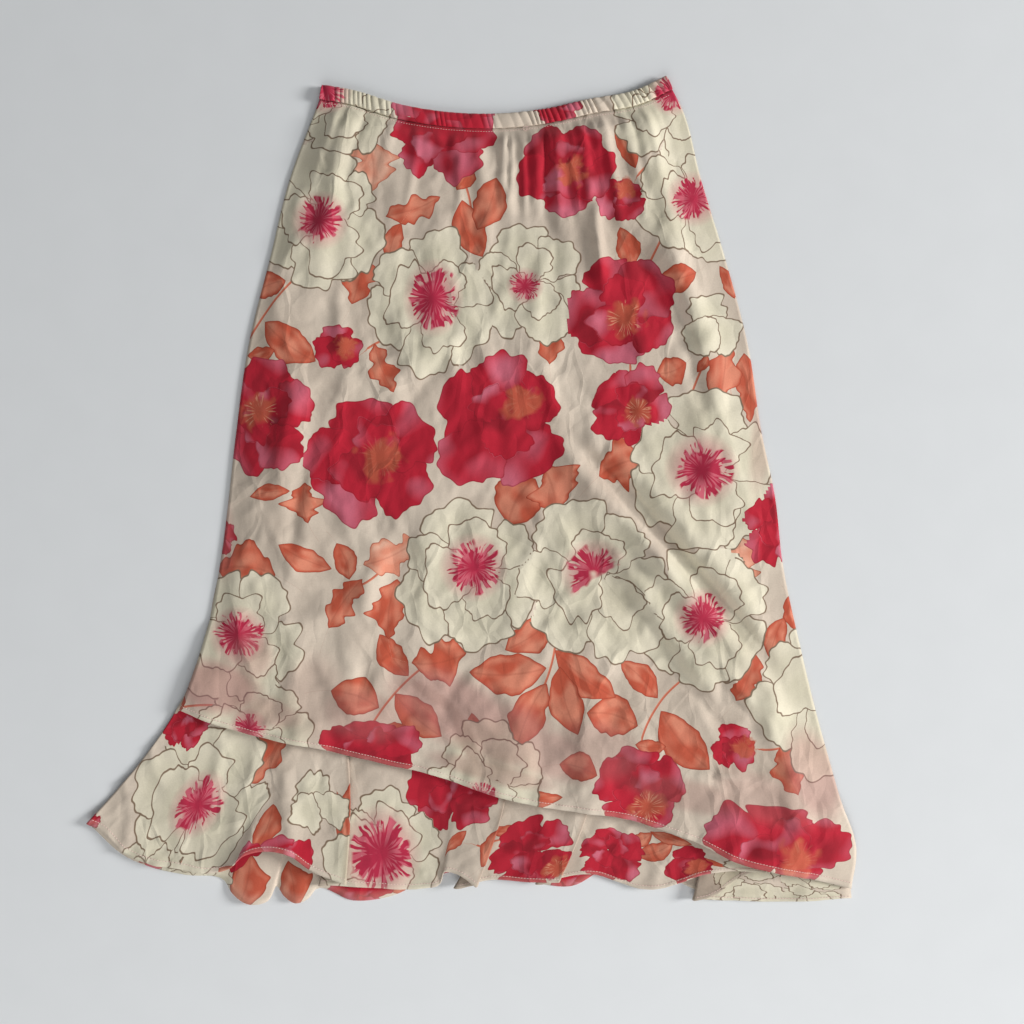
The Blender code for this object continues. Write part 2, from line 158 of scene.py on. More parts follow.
# The front's largest folds, as in its solid
PANEL_CREASES = table(
    Crease,
    (66, 90, 300, -250, 30, 15, 4.5),
    (92, 40, 210, -215, 26, 20, -2.0),
    (33, 318, 34, 240, 0, 5, 2.6),
    (62, 322, 60, 235, 2, 6, 3.0),
    (-108, 335, -135, 170, 4, 10, 2.2),
    (-66, 322, -84, 150, -5, 11, 2.6),
    (-22, 316, -30, 90, 6, 12, 3.0),
    (4, 312, 12, 190, -4, 7, 1.8),
    (100, 326, 128, 150, 6, 11, 2.6),
    (148, 336, 186, 170, -5, 12, 2.6),
    (-150, 120, -165, -100, 8, 16, 2.4),
    (-95, 60, -112, -190, -9, 17, 2.8),
    (-30, 10, -38, -225, 9, 16, 2.6),
    (40, -40, 22, -250, -8, 17, 2.4),
    (120, -90, 108, -270, 9, 16, 2.2),
    (185, -230, 268, -300, -6, 9, 2.8),
    (165, -268, 240, -262, 5, 8, 2.0),
)
PANEL_AIR = 1.5  # the front lies this much higher in the middle than at its sides
DRAPE_CURVE = 0.006  # per mm: how sharply the front comes down from what lies under it
DRAPE_BLEND = 0.8  # how softly the front's own height passes into that
DRAPE_BATCHES = 120  # the front's points are worked out in this many batches
CREASE_STARTS = (-0.05, 0.25)  # shares of a crease over which it rises
CREASE_ENDS = (1.05, 0.7)  # shares over which it fades

# Smaller folds and dents of the front, which only the thin cloth has
SMALL_CREASES = table(
    Crease,
    (80, 56, 286, -182, -5, 7, -5.0),
    (68, 46, 274, -192, -5, 10, 4.6),
    (98, 66, 300, -168, -5, 13, 3.6),
    (150, -30, 262, -214, 4, 8, 2.4),
    (120, -50, 236, -226, 6, 7, -2.0),
    (64, 118, 84, 52, 3, 7, 1.8),
    (140, 226, 212, 56, -12, 9, -2.4),
    (156, 246, 232, 66, -12, 12, 2.6),
    (112, 262, 116, 178, 1, 5, 2.4),
    (120, 250, 158, 200, 3, 6, -1.6),
    (214, -150, 268, -226, 5, 8, -2.4),
    (226, -170, 290, -200, 4, 7, 2.0),
    (186, -238, 282, -256, -4, 6, -2.0),
    (196, -252, 276, -266, -3, 5, 1.8),
    (-150, 96, -172, -6, 6, 9, 2.2),
    (-136, 60, -160, -66, 6, 7, -1.6),
    (-60, -20, -96, -120, 6, 9, 2.0),
    (-16, 140, -8, 66, 3, 7, 1.6),
    (-118, 190, -112, 110, 3, 7, 1.6),
    (-150, 290, -176, 176, 3, 8, 2.2),
    (33, 322, 33, 262, 0, 1.6, -2.2),
    (29, 322, 27, 250, 1, 3.0, 1.2),
    (66, 322, 67, 262, 0, 1.8, -1.8),
    (72, 322, 78, 225, -2, 4.0, 1.4),
    (47, 316, 48, 238, 0, 2.5, 1.0),
    (-44, 318, -58, 232, 2, 4, 0.9),
    (-10, 312, -14, 226, -1, 3.5, 1.0),
    (86, 318, 100, 232, 2, 3.5, 1.0),
    (114, 322, 134, 246, -2, 4, 1.1),
    (134, 330, 160, 250, 2, 4, 1.2),
    (-92, 330, -108, 262, 2, 4, 0.8),
    (-60, 168, -46, 92, 3, 6, 0.9),
    (-72, 60, -20, 132, 4, 5, -0.7),
    (-128, -12, -80, -60, -4, 7, 0.9),
    (-138, 20, -150, -70, 5, 8, 1.0),
    (66, 214, 60, 128, 3, 5, 1.0),
    (110, 232, 118, 160, -3, 5, 0.9),
    (20, 130, 2, 62, 3, 6, 0.8),
    (-52, -108, -8, -158, 5, 5, -0.9),
    (-44, -130, 6, -126, 3, 4, 0.7),
    (-32, -146, -20, -188, 2, 4, 0.8),
    (56, -60, 100, -124, 5, 6, -0.8),
    (96, -84, 66, -136, 4, 6, 0.8),
    (122, -44, 172, -116, 6, 8, 1.2),
    (40, -100, 96, -96, 4, 5, 0.6),
    (150, 20, 214, -52, 5, 6, 0.9),
    (182, 40, 240, -34, 4, 7, -0.9),
    (196, 92, 218, 20, 3, 7, 1.0),
    (-20, -176, 44, -232, 4, 5, 0.9),
    (0, -150, -34, -222, 3, 6, -0.8),
    (-112, -120, -96, -212, 3, 7, 0.9),
    (-150, -118, -166, -206, 3, 8, 1.0),
    (-214, -110, -196, -186, -3, 7, 0.8),
    (196, -238, 262, -262, 3, 4, 0.9),
    (232, -226, 212, -268, 2, 4, -0.8),
    (204, -262, 256, -242, 2, 3.5, 0.8),
    (262, -196, 290, -262, 3, 6, 1.0),
    (244, -120, 284, -206, 4, 7, 1.1),
    (282, -286, 322, -314, 2, 4, 0.9),
    (252, -290, 292, -308, -2, 4, -0.8),
    (104, -208, 176, -244, 4, 6, 0.8),
    (64, -214, 112, -262, 3, 5, 0.7),
)
SIDE_SLOPES = (26.0, 46.0)  # mm from the left and right sides over which the front rises
RED_SHARE = 0.93  # of a charted radius that a red bloom's petals reach
FOLD_PAINTED_SHADE = 0.55  # painted shade: how much darker cloth is painted in a fold, where three layers lie
HEM_TINT = 0.12  # how much paler a turned hem is


class Rib(NamedTuple):
    """A line down a flounce from its share of the sewn line to a place on the hem."""

    line: float
    x: float
    y: float
    fold: float
    lift: float
    bow: float


FRONT_RIBS = table(
    Rib,
    (0.000, -345, -299, 0.1, 0.0, 12),
    (0.012, -333, -305, 0.4, 0.6, 10),
    (0.030, -311, -326, 0.5, 1.2, 8),
    (0.055, -288, -335, 0.6, 1.2, 6),
    (0.085, -262, -339, 0.7, 1.2, 5),
    (0.115, -236, -343, 0.8, 2.0, 4),
    (0.135, -216, -338, 1.0, 5.0, 4),
    (0.150, -203, -326, 1.2, 8.6, 4),
    (0.170, -182, -321, 1.5, 10.0, 4),
    (0.185, -163, -324, 2.0, 9.0, 4),
    (0.198, -144, -338, 3.0, 5.5, 4),
    (0.272, -80, -357, 0.6, 0.2, 4),
    (0.335, -45, -357, 0.9, 0.4, 2),
    (0.385, -28, -352, 1.2, 2.0, 2),
    (0.418, -24, -341, 1.6, 4.4, 2),
    (0.452, -11, -343, 2.6, 4.4, 2),
    (0.548, 24, -349, 0.8, 0.4, 2),
    (0.588, 42, -350, 2.4, 0.6, 2),
    (0.646, 112, -345, 0.7, 0.2, 2),
    (0.657, 133, -352, 1.0, 0.4, 1),
    (0.668, 151, -357, 1.3, 0.6, 0),
    (0.680, 172, -356, 1.8, 1.2, 0),
    (0.693, 191, -349, 2.6, 2.6, 0),
    (0.706, 208, -342, 4.2, 3.2, 0),
    (0.850, 285, -369, 0.2, 0.0, 0),
    (1.000, 341, -366, 0.1, 0.0, 0),
)
BACK_RIBS = table(
    Rib,
    (0.000, -341, -303, 0.0, 0.0, 12),
    (0.030, -310, -330, 0.0, 0.0, 8),
    (0.060, -288, -339, 0.0, 0.0, 6),
    (0.100, -256, -346, 0.0, 0.0, 5),
    (0.140, -222, -351, 0.0, 0.2, 4),
    (0.150, -214, -362, 0.0, 2.8, 4),
    (0.162, -198, -371, 0.0, 5.0, 4),
    (0.174, -182, -368, 0.0, 3.2, 4),
    (0.182, -175, -356, 0.0, 0.2, 4),
    (0.190, -168, -364, 0.0, 2.6, 4),
    (0.200, -157, -370, 0.0, 4.4, 4),
    (0.210, -147, -367, 0.0, 2.2, 4),
    (0.220, -140, -359, 0.0, 0.0, 4),
    (0.250, -106, -369, 0.0, 0.0, 4),
    (0.290, -72, -365, 0.0, 0.0, 4),
    (0.350, -36, -348, 0.0, 0.0, 3),
    (0.420, 18, -341, 0.0, 0.0, 3),
    (0.480, 58, -353, 0.0, 0.0, 2),
    (0.530, 90, -356, 0.0, 0.0, 2),
    (0.580, 122, -340, 0.0, 0.0, 2),
    (0.640, 166, -343, 0.0, 0.0, 0),
    (0.700, 204, -360, 0.0, 0.0, 0),
    (0.780, 252, -367, 0.0, 0.0, 0),
    (0.880, 298, -366, 0.0, 0.0, 0),
    (1.000, 340, -364, 0.0, 0.0, 0),
)


class Fold(NamedTuple):
    """A place where the flounce turns back under itself and forward again."""

    after: int
    line_from: float
    line_to: float
    x: float
    y: float
    depth: float
    height: float
    lift: float
    bow: float
    spread: float


FRONT_FOLDS = table(
    Fold,
    (10, 0.208, 0.232, -124, -351, 22, 6.2, 1.6, 9, 3),
    (15, 0.484, 0.504, -5, -353, 18, 6.2, 2.0, 8, 3),
    (17, 0.618, 0.634, 68, -350, 18, 6.2, 0.8, 7, 3),
    (23, 0.720, 0.780, 230, -339, 60, 8.0, 2.6, 4, 28),
)
STEPS_IN_BEND = 7
STEPS_BACK = 6
STEPS_PER_RIB = 7
FOLD_RISE = 0.3
LIFT_RISE = 2.2
SEAM_BEND = 15.0
FULL_BEND = 0.37
BACK_FROM = 0.25
BACK_GROWS = 1.2
BOW_AFTER_FOLD = 2.0

# Gathers at the waist
GATHERS = 54
GATHER_DEPTH = 0.45
GATHER_SLANT = 2.6
CASING_UNEVEN = ((6.0, 9.0), (3.6, 23.0), (2.2, 47.0), (1.0, 89.0))
CASING_ROUND = 1.3


SHARPER = 1.55
HEM_PRINT = -318.0  # mm: below it the back flounce shows from the front
SEAM_STITCHES = 3.2  # mm below the panel's upper edge
LOOSE_END = (50.0, 328.0)  # mm: where a thread's end has come loose
SEAM_SLOPE = 20.0  # mm: how far below the casing the front has risen from it
SEAM_RISE = 1.7  # mm: how high the seam lies over the level of the front


class Ripple(NamedTuple):
    """Waves of the front below the waist seam, fading down the panel."""

    count: float
    depth: float
    fade: float
    ahead: float
    often: float


RIPPLES = table(
    Ripple,
    (62, 0.45, 14, 2.0, 9.0),
    (31, 0.85, 40, 2.6, 7.0),
    (17, 1.25, 84, 2.2, 5.0),
    (9, 1.40, 170, 1.8, 4.0),
)
# Share across the waist, and how strong the gathers are there
GATHER_STRENGTH = ((0.0, 0.9), (0.12, 0.8), (0.25, 0.45), (0.5, 0.35), (0.62, 1.0), (1.0, 1.1))

# Steps of the thin cloths' grids, across and down
PANEL_STEPS = (188, 222)
BACK_STEPS = (96, 110)
FRONT_FLOUNCE_ROWS = 84
FLOUNCE_ROWS_UNDER = 30
BACK_FLOUNCE_ROWS = 40
CASING_STEPS = (62 * 10, 12)
SIDE_MARGIN = 20.0
LAY_OUT_ROWS = 60  # of the grid on which a flounce's print finds its place
SAME_PLACE = 3.0  # mm: layers of cloth this near lie over each other
LINE_STEPS = 900  # points along a row of stitches
HEM_STITCHES = 0.85  # share of the hem's height at which its stitches run


# What a shape's code holds, from which the print's nodes read it again
CODED_SIZE = 200.0  # mm: its size is the fraction, as a share of this
CODED_SEEDS = 97  # petals: the number that makes it unlike the others
CODED_RED = 100  # petals: added where it is red
CODED_PALE = 40  # leaves: added where it is pale
CODED_LOBED = 50  # leaves: added where it has lobes
NEAR_STEM = 14.0  # mm: no face farther off reads a stem
SCATTERED = 43758.5453  # large, so that nearby numbers give unlike shares
BACK_TURNS_AT = 40.0  # mm: the back's print is the front's, turned over at half of this x
FLOUNCE_HEM = 1 - 4.0 / 150  # share down a flounce from which its hem is turned


class Form(Enum):
    """How a printed bloom's petals are set."""

    CREAM = "outlined petals in two rings"
    CUP = "a few outlined petals"
    RED = "full petals in a wash of crimson"
    BUD = "a closed red bloom"


class Centre(Enum):
    """What is drawn in the middle of a bloom. The value is its code on the cloth."""

    NONE = 0
    SPRAY = 1
    OVAL = 2
    LOOPS = 3
    COMB = 4
    FAN = 5
    HEART = 6
    STAMENS = 7


class Bloom(NamedTuple):
    """A printed flower: its middle, its radius, its height for its width, and its centre."""

    x: float
    y: float
    radius: float
    aspect: float
    turn: float
    form: Form
    centre: Centre = Centre.NONE
    centre_x: float = 0.0
    centre_y: float = 0.0
    centre_radius: float = 0.0


class Leaf(NamedTuple):
    """A printed leaf: its middle, half its length, its width for that, and its tip's turn."""

    x: float
    y: float
    half: float
    aspect: float
    turn: float
    lobed: int = 0
    pale: int = 0


class Stem(NamedTuple):
    """A printed stem from one point to another, bowed to its left."""

    x0: float
    y0: float
    x1: float
    y1: float
    bow: float


class Petal(NamedTuple):
    """A petal's place in a bloom of radius 1: its turn, its middle's reach, half its length
    and width, and which layer of the print it is in."""

    turn: float
    reach: float
    length: float
    width: float
    layer: int


PETALS = {
    Form.CREAM: table(
        Petal,
        (85, 0.56, 0.54, 0.50, 0),
        (140, 0.60, 0.44, 0.34, 1),
        (200, 0.56, 0.52, 0.48, 0),
        (262, 0.58, 0.52, 0.46, 1),
        (318, 0.56, 0.50, 0.50, 0),
        (22, 0.60, 0.46, 0.36, 1),
        (52, 0.34, 0.40, 0.38, 2),
        (165, 0.30, 0.38, 0.40, 3),
        (285, 0.34, 0.42, 0.36, 2),
    ),
    Form.CUP: table(
        Petal,
        (100, 0.30, 0.72, 0.66, 0),
        (330, 0.42, 0.66, 0.56, 1),
        (240, 0.40, 0.62, 0.60, 2),
    ),
    Form.RED: table(
        Petal,
        (90, 0.50, 0.54, 0.52, 0),
        (160, 0.52, 0.52, 0.48, 1),
        (232, 0.50, 0.54, 0.52, 0),
        (305, 0.52, 0.52, 0.50, 1),
        (18, 0.52, 0.54, 0.50, 2),
        (55, 0.24, 0.36, 0.36, 3),
        (215, 0.22, 0.38, 0.38, 3),
    ),
    Form.BUD: table(
        Petal,
        (90, 0.32, 0.70, 0.70, 0),
        (210, 0.32, 0.70, 0.70, 1),
        (330, 0.30, 0.72, 0.66, 2),
    ),
}

# The print, in the front's own plan: flowers, leaves and stems, in the layout shown
BLOOMS = table(
    Bloom,
    (-135, 241, 58, 1, 12, Form.CREAM, Centre.SPRAY, -135, 240, 19),
    (-35, 167, 54, 1.15, 0, Form.CREAM, Centre.OVAL, -34, 171, 22),
    (51, 184, 47, 1.05, 25, Form.CREAM, Centre.SPRAY, 48, 182, 12),
    (0, -75, 62, 1, 18, Form.CREAM, Centre.COMB, 2, -69, 22),
    (113, -81, 61, 1.12, 38, Form.CREAM, Centre.FAN, 110, -74, 22),
    (207, 16, 63, 1.05, 4, Form.CREAM, Centre.SPRAY, 206, 18, 24),
    (202, 263, 50, 1.18, 22, Form.CREAM, Centre.LOOPS, 199, 261, 18),
    (213, 147, 28, 1, 0, Form.CUP),
    (-208, -133, 56, 1, 32, Form.CREAM, Centre.SPRAY, -208, -130, 19),
    (207, -117, 58, 1, 12, Form.CREAM, Centre.SPRAY, 206, -114, 19),
    (312, -184, 54, 1.15, 0, Form.CREAM, Centre.OVAL, 330, -183, 18),
    (-120, 347, 54, 0.8, 4, Form.CREAM, Centre.SPRAY, -129, 358, 16),
    (177, 340, 52, 0.9, 32, Form.CREAM, Centre.SPRAY, 180, 356, 15),
    (-194, -214, 50, 0.9, 22, Form.CREAM, Centre.LOOPS, -198, -213, 13),
    (15, -256, 47, 1, 0, Form.CREAM, Centre.SPRAY, 8, -276, 14),
    (-183, 65, 45, 1.15, 0, Form.RED, Centre.STAMENS, -189, 70, 18),
    (-90, 27, 63, 0.93, 10, Form.RED, Centre.HEART, -81, 29, 22),
    (26, 63, 63, 0.86, 75, Form.RED, Centre.HEART, 45, 79, 18),
    (134, 160, 50, 1.06, 25, Form.RED, Centre.STAMENS, 137, 153, 18),
    (144, 74, 39, 0.85, 50, Form.RED, Centre.STAMENS, 149, 70, 13),
    (85, 286, 42, 1.02, 40, Form.RED, Centre.HEART, 89, 283, 14),
    (-27, 312, 50, 0.7, 0, Form.RED),
    (150, -267, 42, 0.95, 0, Form.RED, Centre.STAMENS, 157, -282, 16),
    (270, -317, 68, 0.55, 350, Form.RED, Centre.HEART, 291, -329, 20),
    (275, -32, 31, 1.3, 0, Form.RED),
    (-90, -229, 45, 0.55, 0, Form.RED),
    (-225, -41, 13, 1.6, 0, Form.RED),
    (-119, 128, 22, 0.95, 0, Form.BUD, Centre.HEART, -111, 128, 11),
    (234, -230, 22, 0.95, 0, Form.BUD, Centre.HEART, 243, -230, 11),
    (135, 259, 20, 1.2, 90, Form.BUD, Centre.HEART, 137, 268, 10),
)
FLOUNCE_BLOOMS = table(
    Bloom,
    (-242, -279, 59, 1, 20, Form.CREAM, Centre.SPRAY, -243, -281, 18),
    (-257, -213, 23, 0.75, 0, Form.RED),
    (-138, -279, 29, 0.75, 0, Form.CUP),
    (-174, -333, 41, 0.62, 0, Form.RED),
    (-78, -324, 52, 0.95, 0, Form.CREAM, Centre.SPRAY, -80, -325, 27),
    (-18, -272, 40, 0.8, 0, Form.RED),
    (55, -324, 40, 0.9, 30, Form.RED, Centre.STAMENS, 76, -337, 13),
    (125, -326, 31, 0.95, 0, Form.RED),
    (195, -335, 23, 0.95, 0, Form.BUD, Centre.HEART, 200, -335, 11),
    (-343, -299, 9, 1, 0, Form.RED),
    (-289, -342, 31, 0.8, 0, Form.CREAM),
    (246, -351, 41, 0.7, 0, Form.CREAM),
    (305, -360, 32, 0.7, 0, Form.CREAM),
    (333, -297, 23, 1.2, 0, Form.RED),
)
LEAVES = table(
    Leaf,
    (-87, 290, 22, 0.75, 95, 1, 1), (-51, 250, 24, 0.42, 20, 1), (-70, 222, 16, 0.5, 250),
    (-5, 279, 13, 0.6, 65), (17, 254, 23, 0.55, 70), (-2, 232, 25, 0.5, 290),
    (-100, 189, 22, 0.5, 80, 1), (-182, 184, 15, 0.7, 200), (-164, 130, 27, 0.5, 322),
    (-188, 121, 12, 0.55, 10), (-80, 108, 22, 0.42, 292, 1), (71, 139, 25, 0.42, 262, 1),
    (139, 306, 20, 0.38, 115), (140, 216, 18, 0.5, 105), (184, 187, 17, 0.65, 15),
    (231, 187, 15, 0.4, 115), (180, 106, 13, 0.9, 20), (207, 112, 8, 0.5, 60),
    (225, 97, 34, 0.36, 80, 1), (250, 92, 29, 0.36, 95, 1), (135, 24, 22, 0.72, 200, 1),
    (41, -8, 22, 0.9, 240), (71, 7, 24, 0.75, 110, 1), (-180, -2, 17, 0.38, 188),
    (-150, -12, 17, 0.7, 275, 1), (-201, -69, 25, 0.75, 175, 1), (-149, -62, 24, 0.4, 335),
    (-112, -63, 16, 0.6, 110), (-114, -100, 25, 0.42, 235, 1), (-71, -59, 24, 0.55, 25, 1, 1),
    (-73, -106, 25, 0.5, 262, 1), (-71, -149, 21, 0.5, 305), (-28, -154, 23, 0.7, 10, 1),
    (-102, -183, 21, 0.7, 160), (-49, -203, 26, 0.5, 318), (-66, -215, 13, 0.5, 350),
    (4, -217, 17, 0.45, 95), (56, -129, 27, 0.48, 35), (33, -165, 32, 0.5, 3),
    (100, -167, 32, 0.4, 322), (51, -200, 29, 0.48, 245), (84, -189, 29, 0.45, 285),
    (152, -168, 22, 0.45, 135), (127, -201, 22, 0.7, 165), (188, -226, 31, 0.5, 310),
    (160, -230, 13, 0.5, 355), (241, -63, 20, 0.75, 280, 1, 1), (247, -167, 22, 0.5, 70, 1),
    (289, -110, 14, 0.6, 100), (272, -132, 18, 0.5, 250), (282, -250, 23, 0.42, 288, 1),
    (96, -246, 16, 0.7, 165), (60, -275, 20, 0.3, 0), (-261, -189, 11, 0.5, 80),
)
FLOUNCE_LEAVES = table(
    Leaf,
    (-183, -240, 23, 0.6, 70, 1), (-183, -300, 18, 0.6, 95), (-108, -317, 22, 0.4, 95),
    (-108, -279, 14, 0.4, 60), (-42, -227, 18, 0.5, 20), (-15, -313, 14, 0.4, 40),
    (20, -320, 18, 0.5, 60), (165, -324, 18, 0.5, 30), (30, -306, 13, 0.4, 0),
    (-208, -340, 18, 0.35, 20), (152, -313, 13, 0.5, 30), (178, -312, 20, 0.26, 340),
    (208, -330, 18, 0.22, 338), (-112, -300, 24, 0.16, 88),
)
STEMS = table(
    Stem,
    (-16, 292, 0, 250, 3), (-160, 187, -212, 112, -4), (-93, 126, -66, 137, 2), (40, 38, 41, 9, 0),
    (165, 292, 148, 279, -2), (171, 227, 159, 202, 0), (76, 165, 99, 165, 0),
    (142, 112, 142, 97, 0), (-39, -155, -90, -212, -4), (76, -124, 63, -180, 3),
    (188, -171, 152, -223, -5), (47, -94, 76, -88, 1), (258, 7, 272, -4, 0),
    (-257, -194, -228, -192, 1), (289, -223, 258, -232, 3), (287, -214, 293, -221, 1),
    (207, 112, 197, 86, 0), (233, 81, 225, 70, 2), (-100, -86, -82, -74, -1),
    (39, -27, 42, -20, 0),
)
FLOUNCE_STEMS = table(
    Stem,
    (-255, -306, -261, -344, 2), (6, -317, 30, -313, 0),
)


# Blooms that show on the casing alone
CASING_BLOOMS = table(
    Bloom,
    (-22, 336, 50, 0.45, 0, Form.RED),
    (76, 344, 23, 0.8, 5, Form.RED),
)
# What shows on the back flounce below the front one, by its place in the photograph
BACK_FLOUNCE_BLOOMS = table(
    Bloom,
    (-100, -361, 34, 0.4, 0, Form.RED),
    (-250, -352, 34, 0.5, 0, Form.CREAM),
    (-5, -345, 30, 0.6, 0, Form.RED),
    (92, -348, 26, 0.6, 0, Form.RED),
    (290, -356, 44, 0.8, 0, Form.CREAM),
    (242, -368, 16, 0.5, 0, Form.RED),
)
BACK_FLOUNCE_LEAVES = table(
    Leaf,
    (-201, -353, 19, 0.85, 75), (-159, -356, 16, 0.9, 100), (-240, -342, 14, 0.5, 150),
    (-60, -352, 16, 0.5, 20),
)


class Veil(NamedTuple):
    """A soft patch on the sheer front: pink where red print shows from beneath, and painted shade.
    """

    x: float
    y: float
    across: float
    down: float
    turn: float
    pink: float
    # painted shade: how much darker the patch is painted
    painted_shade: float


# The last column is painted shade, along fold valleys and as the flounce fold's shadow seen through
# the front
TINTS_AND_PAINTED_SHADE = table(
    Veil,
    (-226, -176, 40, 24, -10, 0.75, 0.0),
    (-196, -150, 20, 22, -10, 0.45, 0.0),
    (-186, -196, 40, 14, -14, 0.45, 0.1),
    (-140, -186, 30, 40, 0, 0.15, 0.18),
    (-96, -200, 40, 24, -14, 0.35, 0.15),
    (-14, -196, 66, 30, -24, 0.60, 0.12),
    (30, -218, 46, 30, -14, 0.50, 0.12),
    (-34, -184, 30, 6, -34, 0.35, 0.40),
    (-5, -220, 33, 8, -66, 0.40, 0.42),
    (18, -250, 56, 10, -14, 0.40, 0.20),
    (70, -236, 50, 22, -14, 0.45, 0.08),
    (112, -232, 40, 26, -14, 0.30, 0.10),
    (196, -272, 60, 14, -12, 0.30, 0.18),
    (262, -276, 50, 20, -20, 0.30, 0.10),
    (306, -256, 24, 44, 20, 0.55, 0.0),
    (-236, 30, 12, 66, 4, 0.45, 0.0),
    (-224, -40, 12, 40, 4, 0.35, 0.0),
    (264, 60, 12, 66, -8, 0.30, 0.0),
    (-118, 300, 40, 20, 0, 0.0, 0.12),
    (150, 246, 40, 60, 10, 0.0, 0.14),
    (196, 60, 14, 70, -20, 0.0, 0.16),
    (250, -150, 40, 30, -50, 0.0, 0.14),
    (120, -70, 26, 60, 20, 0.0, 0.12),
    (20, -30, 50, 24, 0, 0.0, 0.08),
)


def smooth_step(low: float, high: float, value: np.ndarray) -> np.ndarray:
    """0 below low, 1 above high, and a soft slope between them.

    Args:
        low: Where the slope starts.
        high: Where it ends.
        value: The values to place on it.

    Returns:
        The shares from 0 to 1.
    """
    share = np.clip((value - low) / (high - low), 0.0, 1.0)
    return share * share * (3.0 - 2.0 * share)


def chords(points: np.ndarray) -> np.ndarray:
    """Share of the way along a line of points at which each one lies.

    Args:
        points: The points, in order.

    Returns:
        Their shares, from 0 to 1.
    """
    steps = np.linalg.norm(np.diff(points, axis=0), axis=1)
    along = np.concatenate([[0.0], np.cumsum(steps)])
    return along / along[-1]


def smooth_curve(
    points: Sequence[Sequence[float]], shares: np.ndarray, knots: np.ndarray | None = None
) -> np.ndarray:
    """Places on the smooth curve through some points.

    Args:
        points: The points that it passes through.
        shares: Where on it to look, from 0 to 1.
        knots: The shares of the points themselves, or None for those of their chords.

    Returns:
        One place for each share.
    """
    points = np.asarray(points, float)
    if knots is None:
        knots = chords(points)
    slopes = np.gradient(points, knots, axis=0)
    first = np.clip(np.searchsorted(knots, shares, "right") - 1, 0, len(knots) - 2)
    width = (knots[first + 1] - knots[first])[:, None]
    t = (shares - knots[first])[:, None] / width
    return (
        (2 * t**3 - 3 * t**2 + 1) * points[first]
        + (t**3 - 2 * t**2 + t) * width * slopes[first]
        + (3 * t**2 - 2 * t**3) * points[first + 1]
        + (t**3 - t**2) * width * slopes[first + 1]
    )


def beside(points: Sequence[Sequence[float]], distance: float) -> np.ndarray:
    """A line of points moved to its left.

    Args:
        points: The line's points.
        distance: How far they move, in mm.

    Returns:
        The moved points.
    """
    line = np.asarray(points, float)
    along = np.gradient(line, axis=0)
    along /= np.linalg.norm(along, axis=1)[:, None]
    return line + distance * np.stack([-along[:, 1], along[:, 0]], axis=1)


def between_sides(
    top: Sequence[Sequence[float]],
    bottom: Sequence[Sequence[float]],
    left: Sequence[Sequence[float]],
    right: Sequence[Sequence[float]],
    u: np.ndarray,
    v: np.ndarray,
) -> np.ndarray:
    """Points of a patch with four curved sides.

    Args:
        top: The upper side's points, from left to right.
        bottom: The lower side's points, from left to right.
        left: The left side's points, from the top down.
        right: The right side's points, from the top down.
        u: Shares across.
        v: Shares down.

    Returns:
        One point for each pair of shares.
    """
    ends = np.array([0.0, 1.0])
    top_left, top_right = smooth_curve(top, ends)
    low_left, low_right = smooth_curve(bottom, ends)
    across, down = u[:, None], v[:, None]
    ruled_down = (1 - down) * smooth_curve(top, u) + down * smooth_curve(bottom, u)
    ruled_across = (1 - across) * smooth_curve(left, v) + across * smooth_curve(right, v)
    flat = (1 - down) * ((1 - across) * top_left + across * top_right) + down * (
        (1 - across) * low_left + across * low_right
    )
    return ruled_down + ruled_across - flat


def crease_height(crease: Crease, x: np.ndarray, y: np.ndarray) -> np.ndarray:
    """How much one fold raises the cloth.

    Args:
        crease: The fold.
        x: The points' places across.
        y: The points' places up.

    Returns:
        The height at each point, in mm.
    """
    ax, ay = crease.x1 - crease.x0, crease.y1 - crease.y0
    length = np.hypot(ax, ay)
    share = ((x - crease.x0) * ax + (y - crease.y0) * ay) / length**2
    off = ((x - crease.x0) * ay - (y - crease.y0) * ax) / length
    off = off - crease.bow * 4 * share * (1 - share)
    ends = smooth_step(*CREASE_STARTS, share) * smooth_step(*CREASE_ENDS, share)
    return crease.height * ends * np.exp(-((off / crease.width) ** 2))


class Row(NamedTuple):
    """One column of a flounce's grid with all that places it. depth and height are those of
    the fold it is carried across by. round, back and out are the shares of the fold's first
    bend, middle stretch and second bend that lie before it, and inside is 1 in a fold."""

    line: float
    x: float
    y: float
    fold: float
    lift: float
    bow: float
    depth: float
    height: float
    round: float
    back: float
    out: float
    inside: float


def fold_offset(row: Row, v: np.ndarray) -> tuple[np.ndarray, np.ndarray]:
    """How far a fold carries a rib's points.

    Args:
        row: The ribs, with an array in each field.
        v: Shares along the ribs.

    Returns:
        The ways across and down, in mm.
    """
    rise = v**FOLD_RISE
    first = np.radians(SEAM_BEND)
    angle = first + (np.pi - first) * smooth_step(0.0, FULL_BEND, v)
    height = row.height * rise
    grown = np.clip((v - BACK_FROM) / (1 - BACK_FROM), 0.0, 1.0) ** BACK_GROWS
    straight = height / 2 / np.tan(angle / 2) + row.depth * grown
    bend = (height - straight * np.sin(angle)) / 2 / (1 - np.cos(angle))
    in_first, in_last = angle * row.round, angle * (1 - row.out)
    across = (
        straight * np.cos(angle) * (row.back - 0.5)
        + bend * (np.sin(in_first) - np.sin(in_last))
    )
    down = (
        bend * (1 - np.cos(in_first))
        + straight * np.sin(angle) * row.back
        + bend * (np.cos(in_last) - np.cos(angle))
    )
    return across, row.inside * down


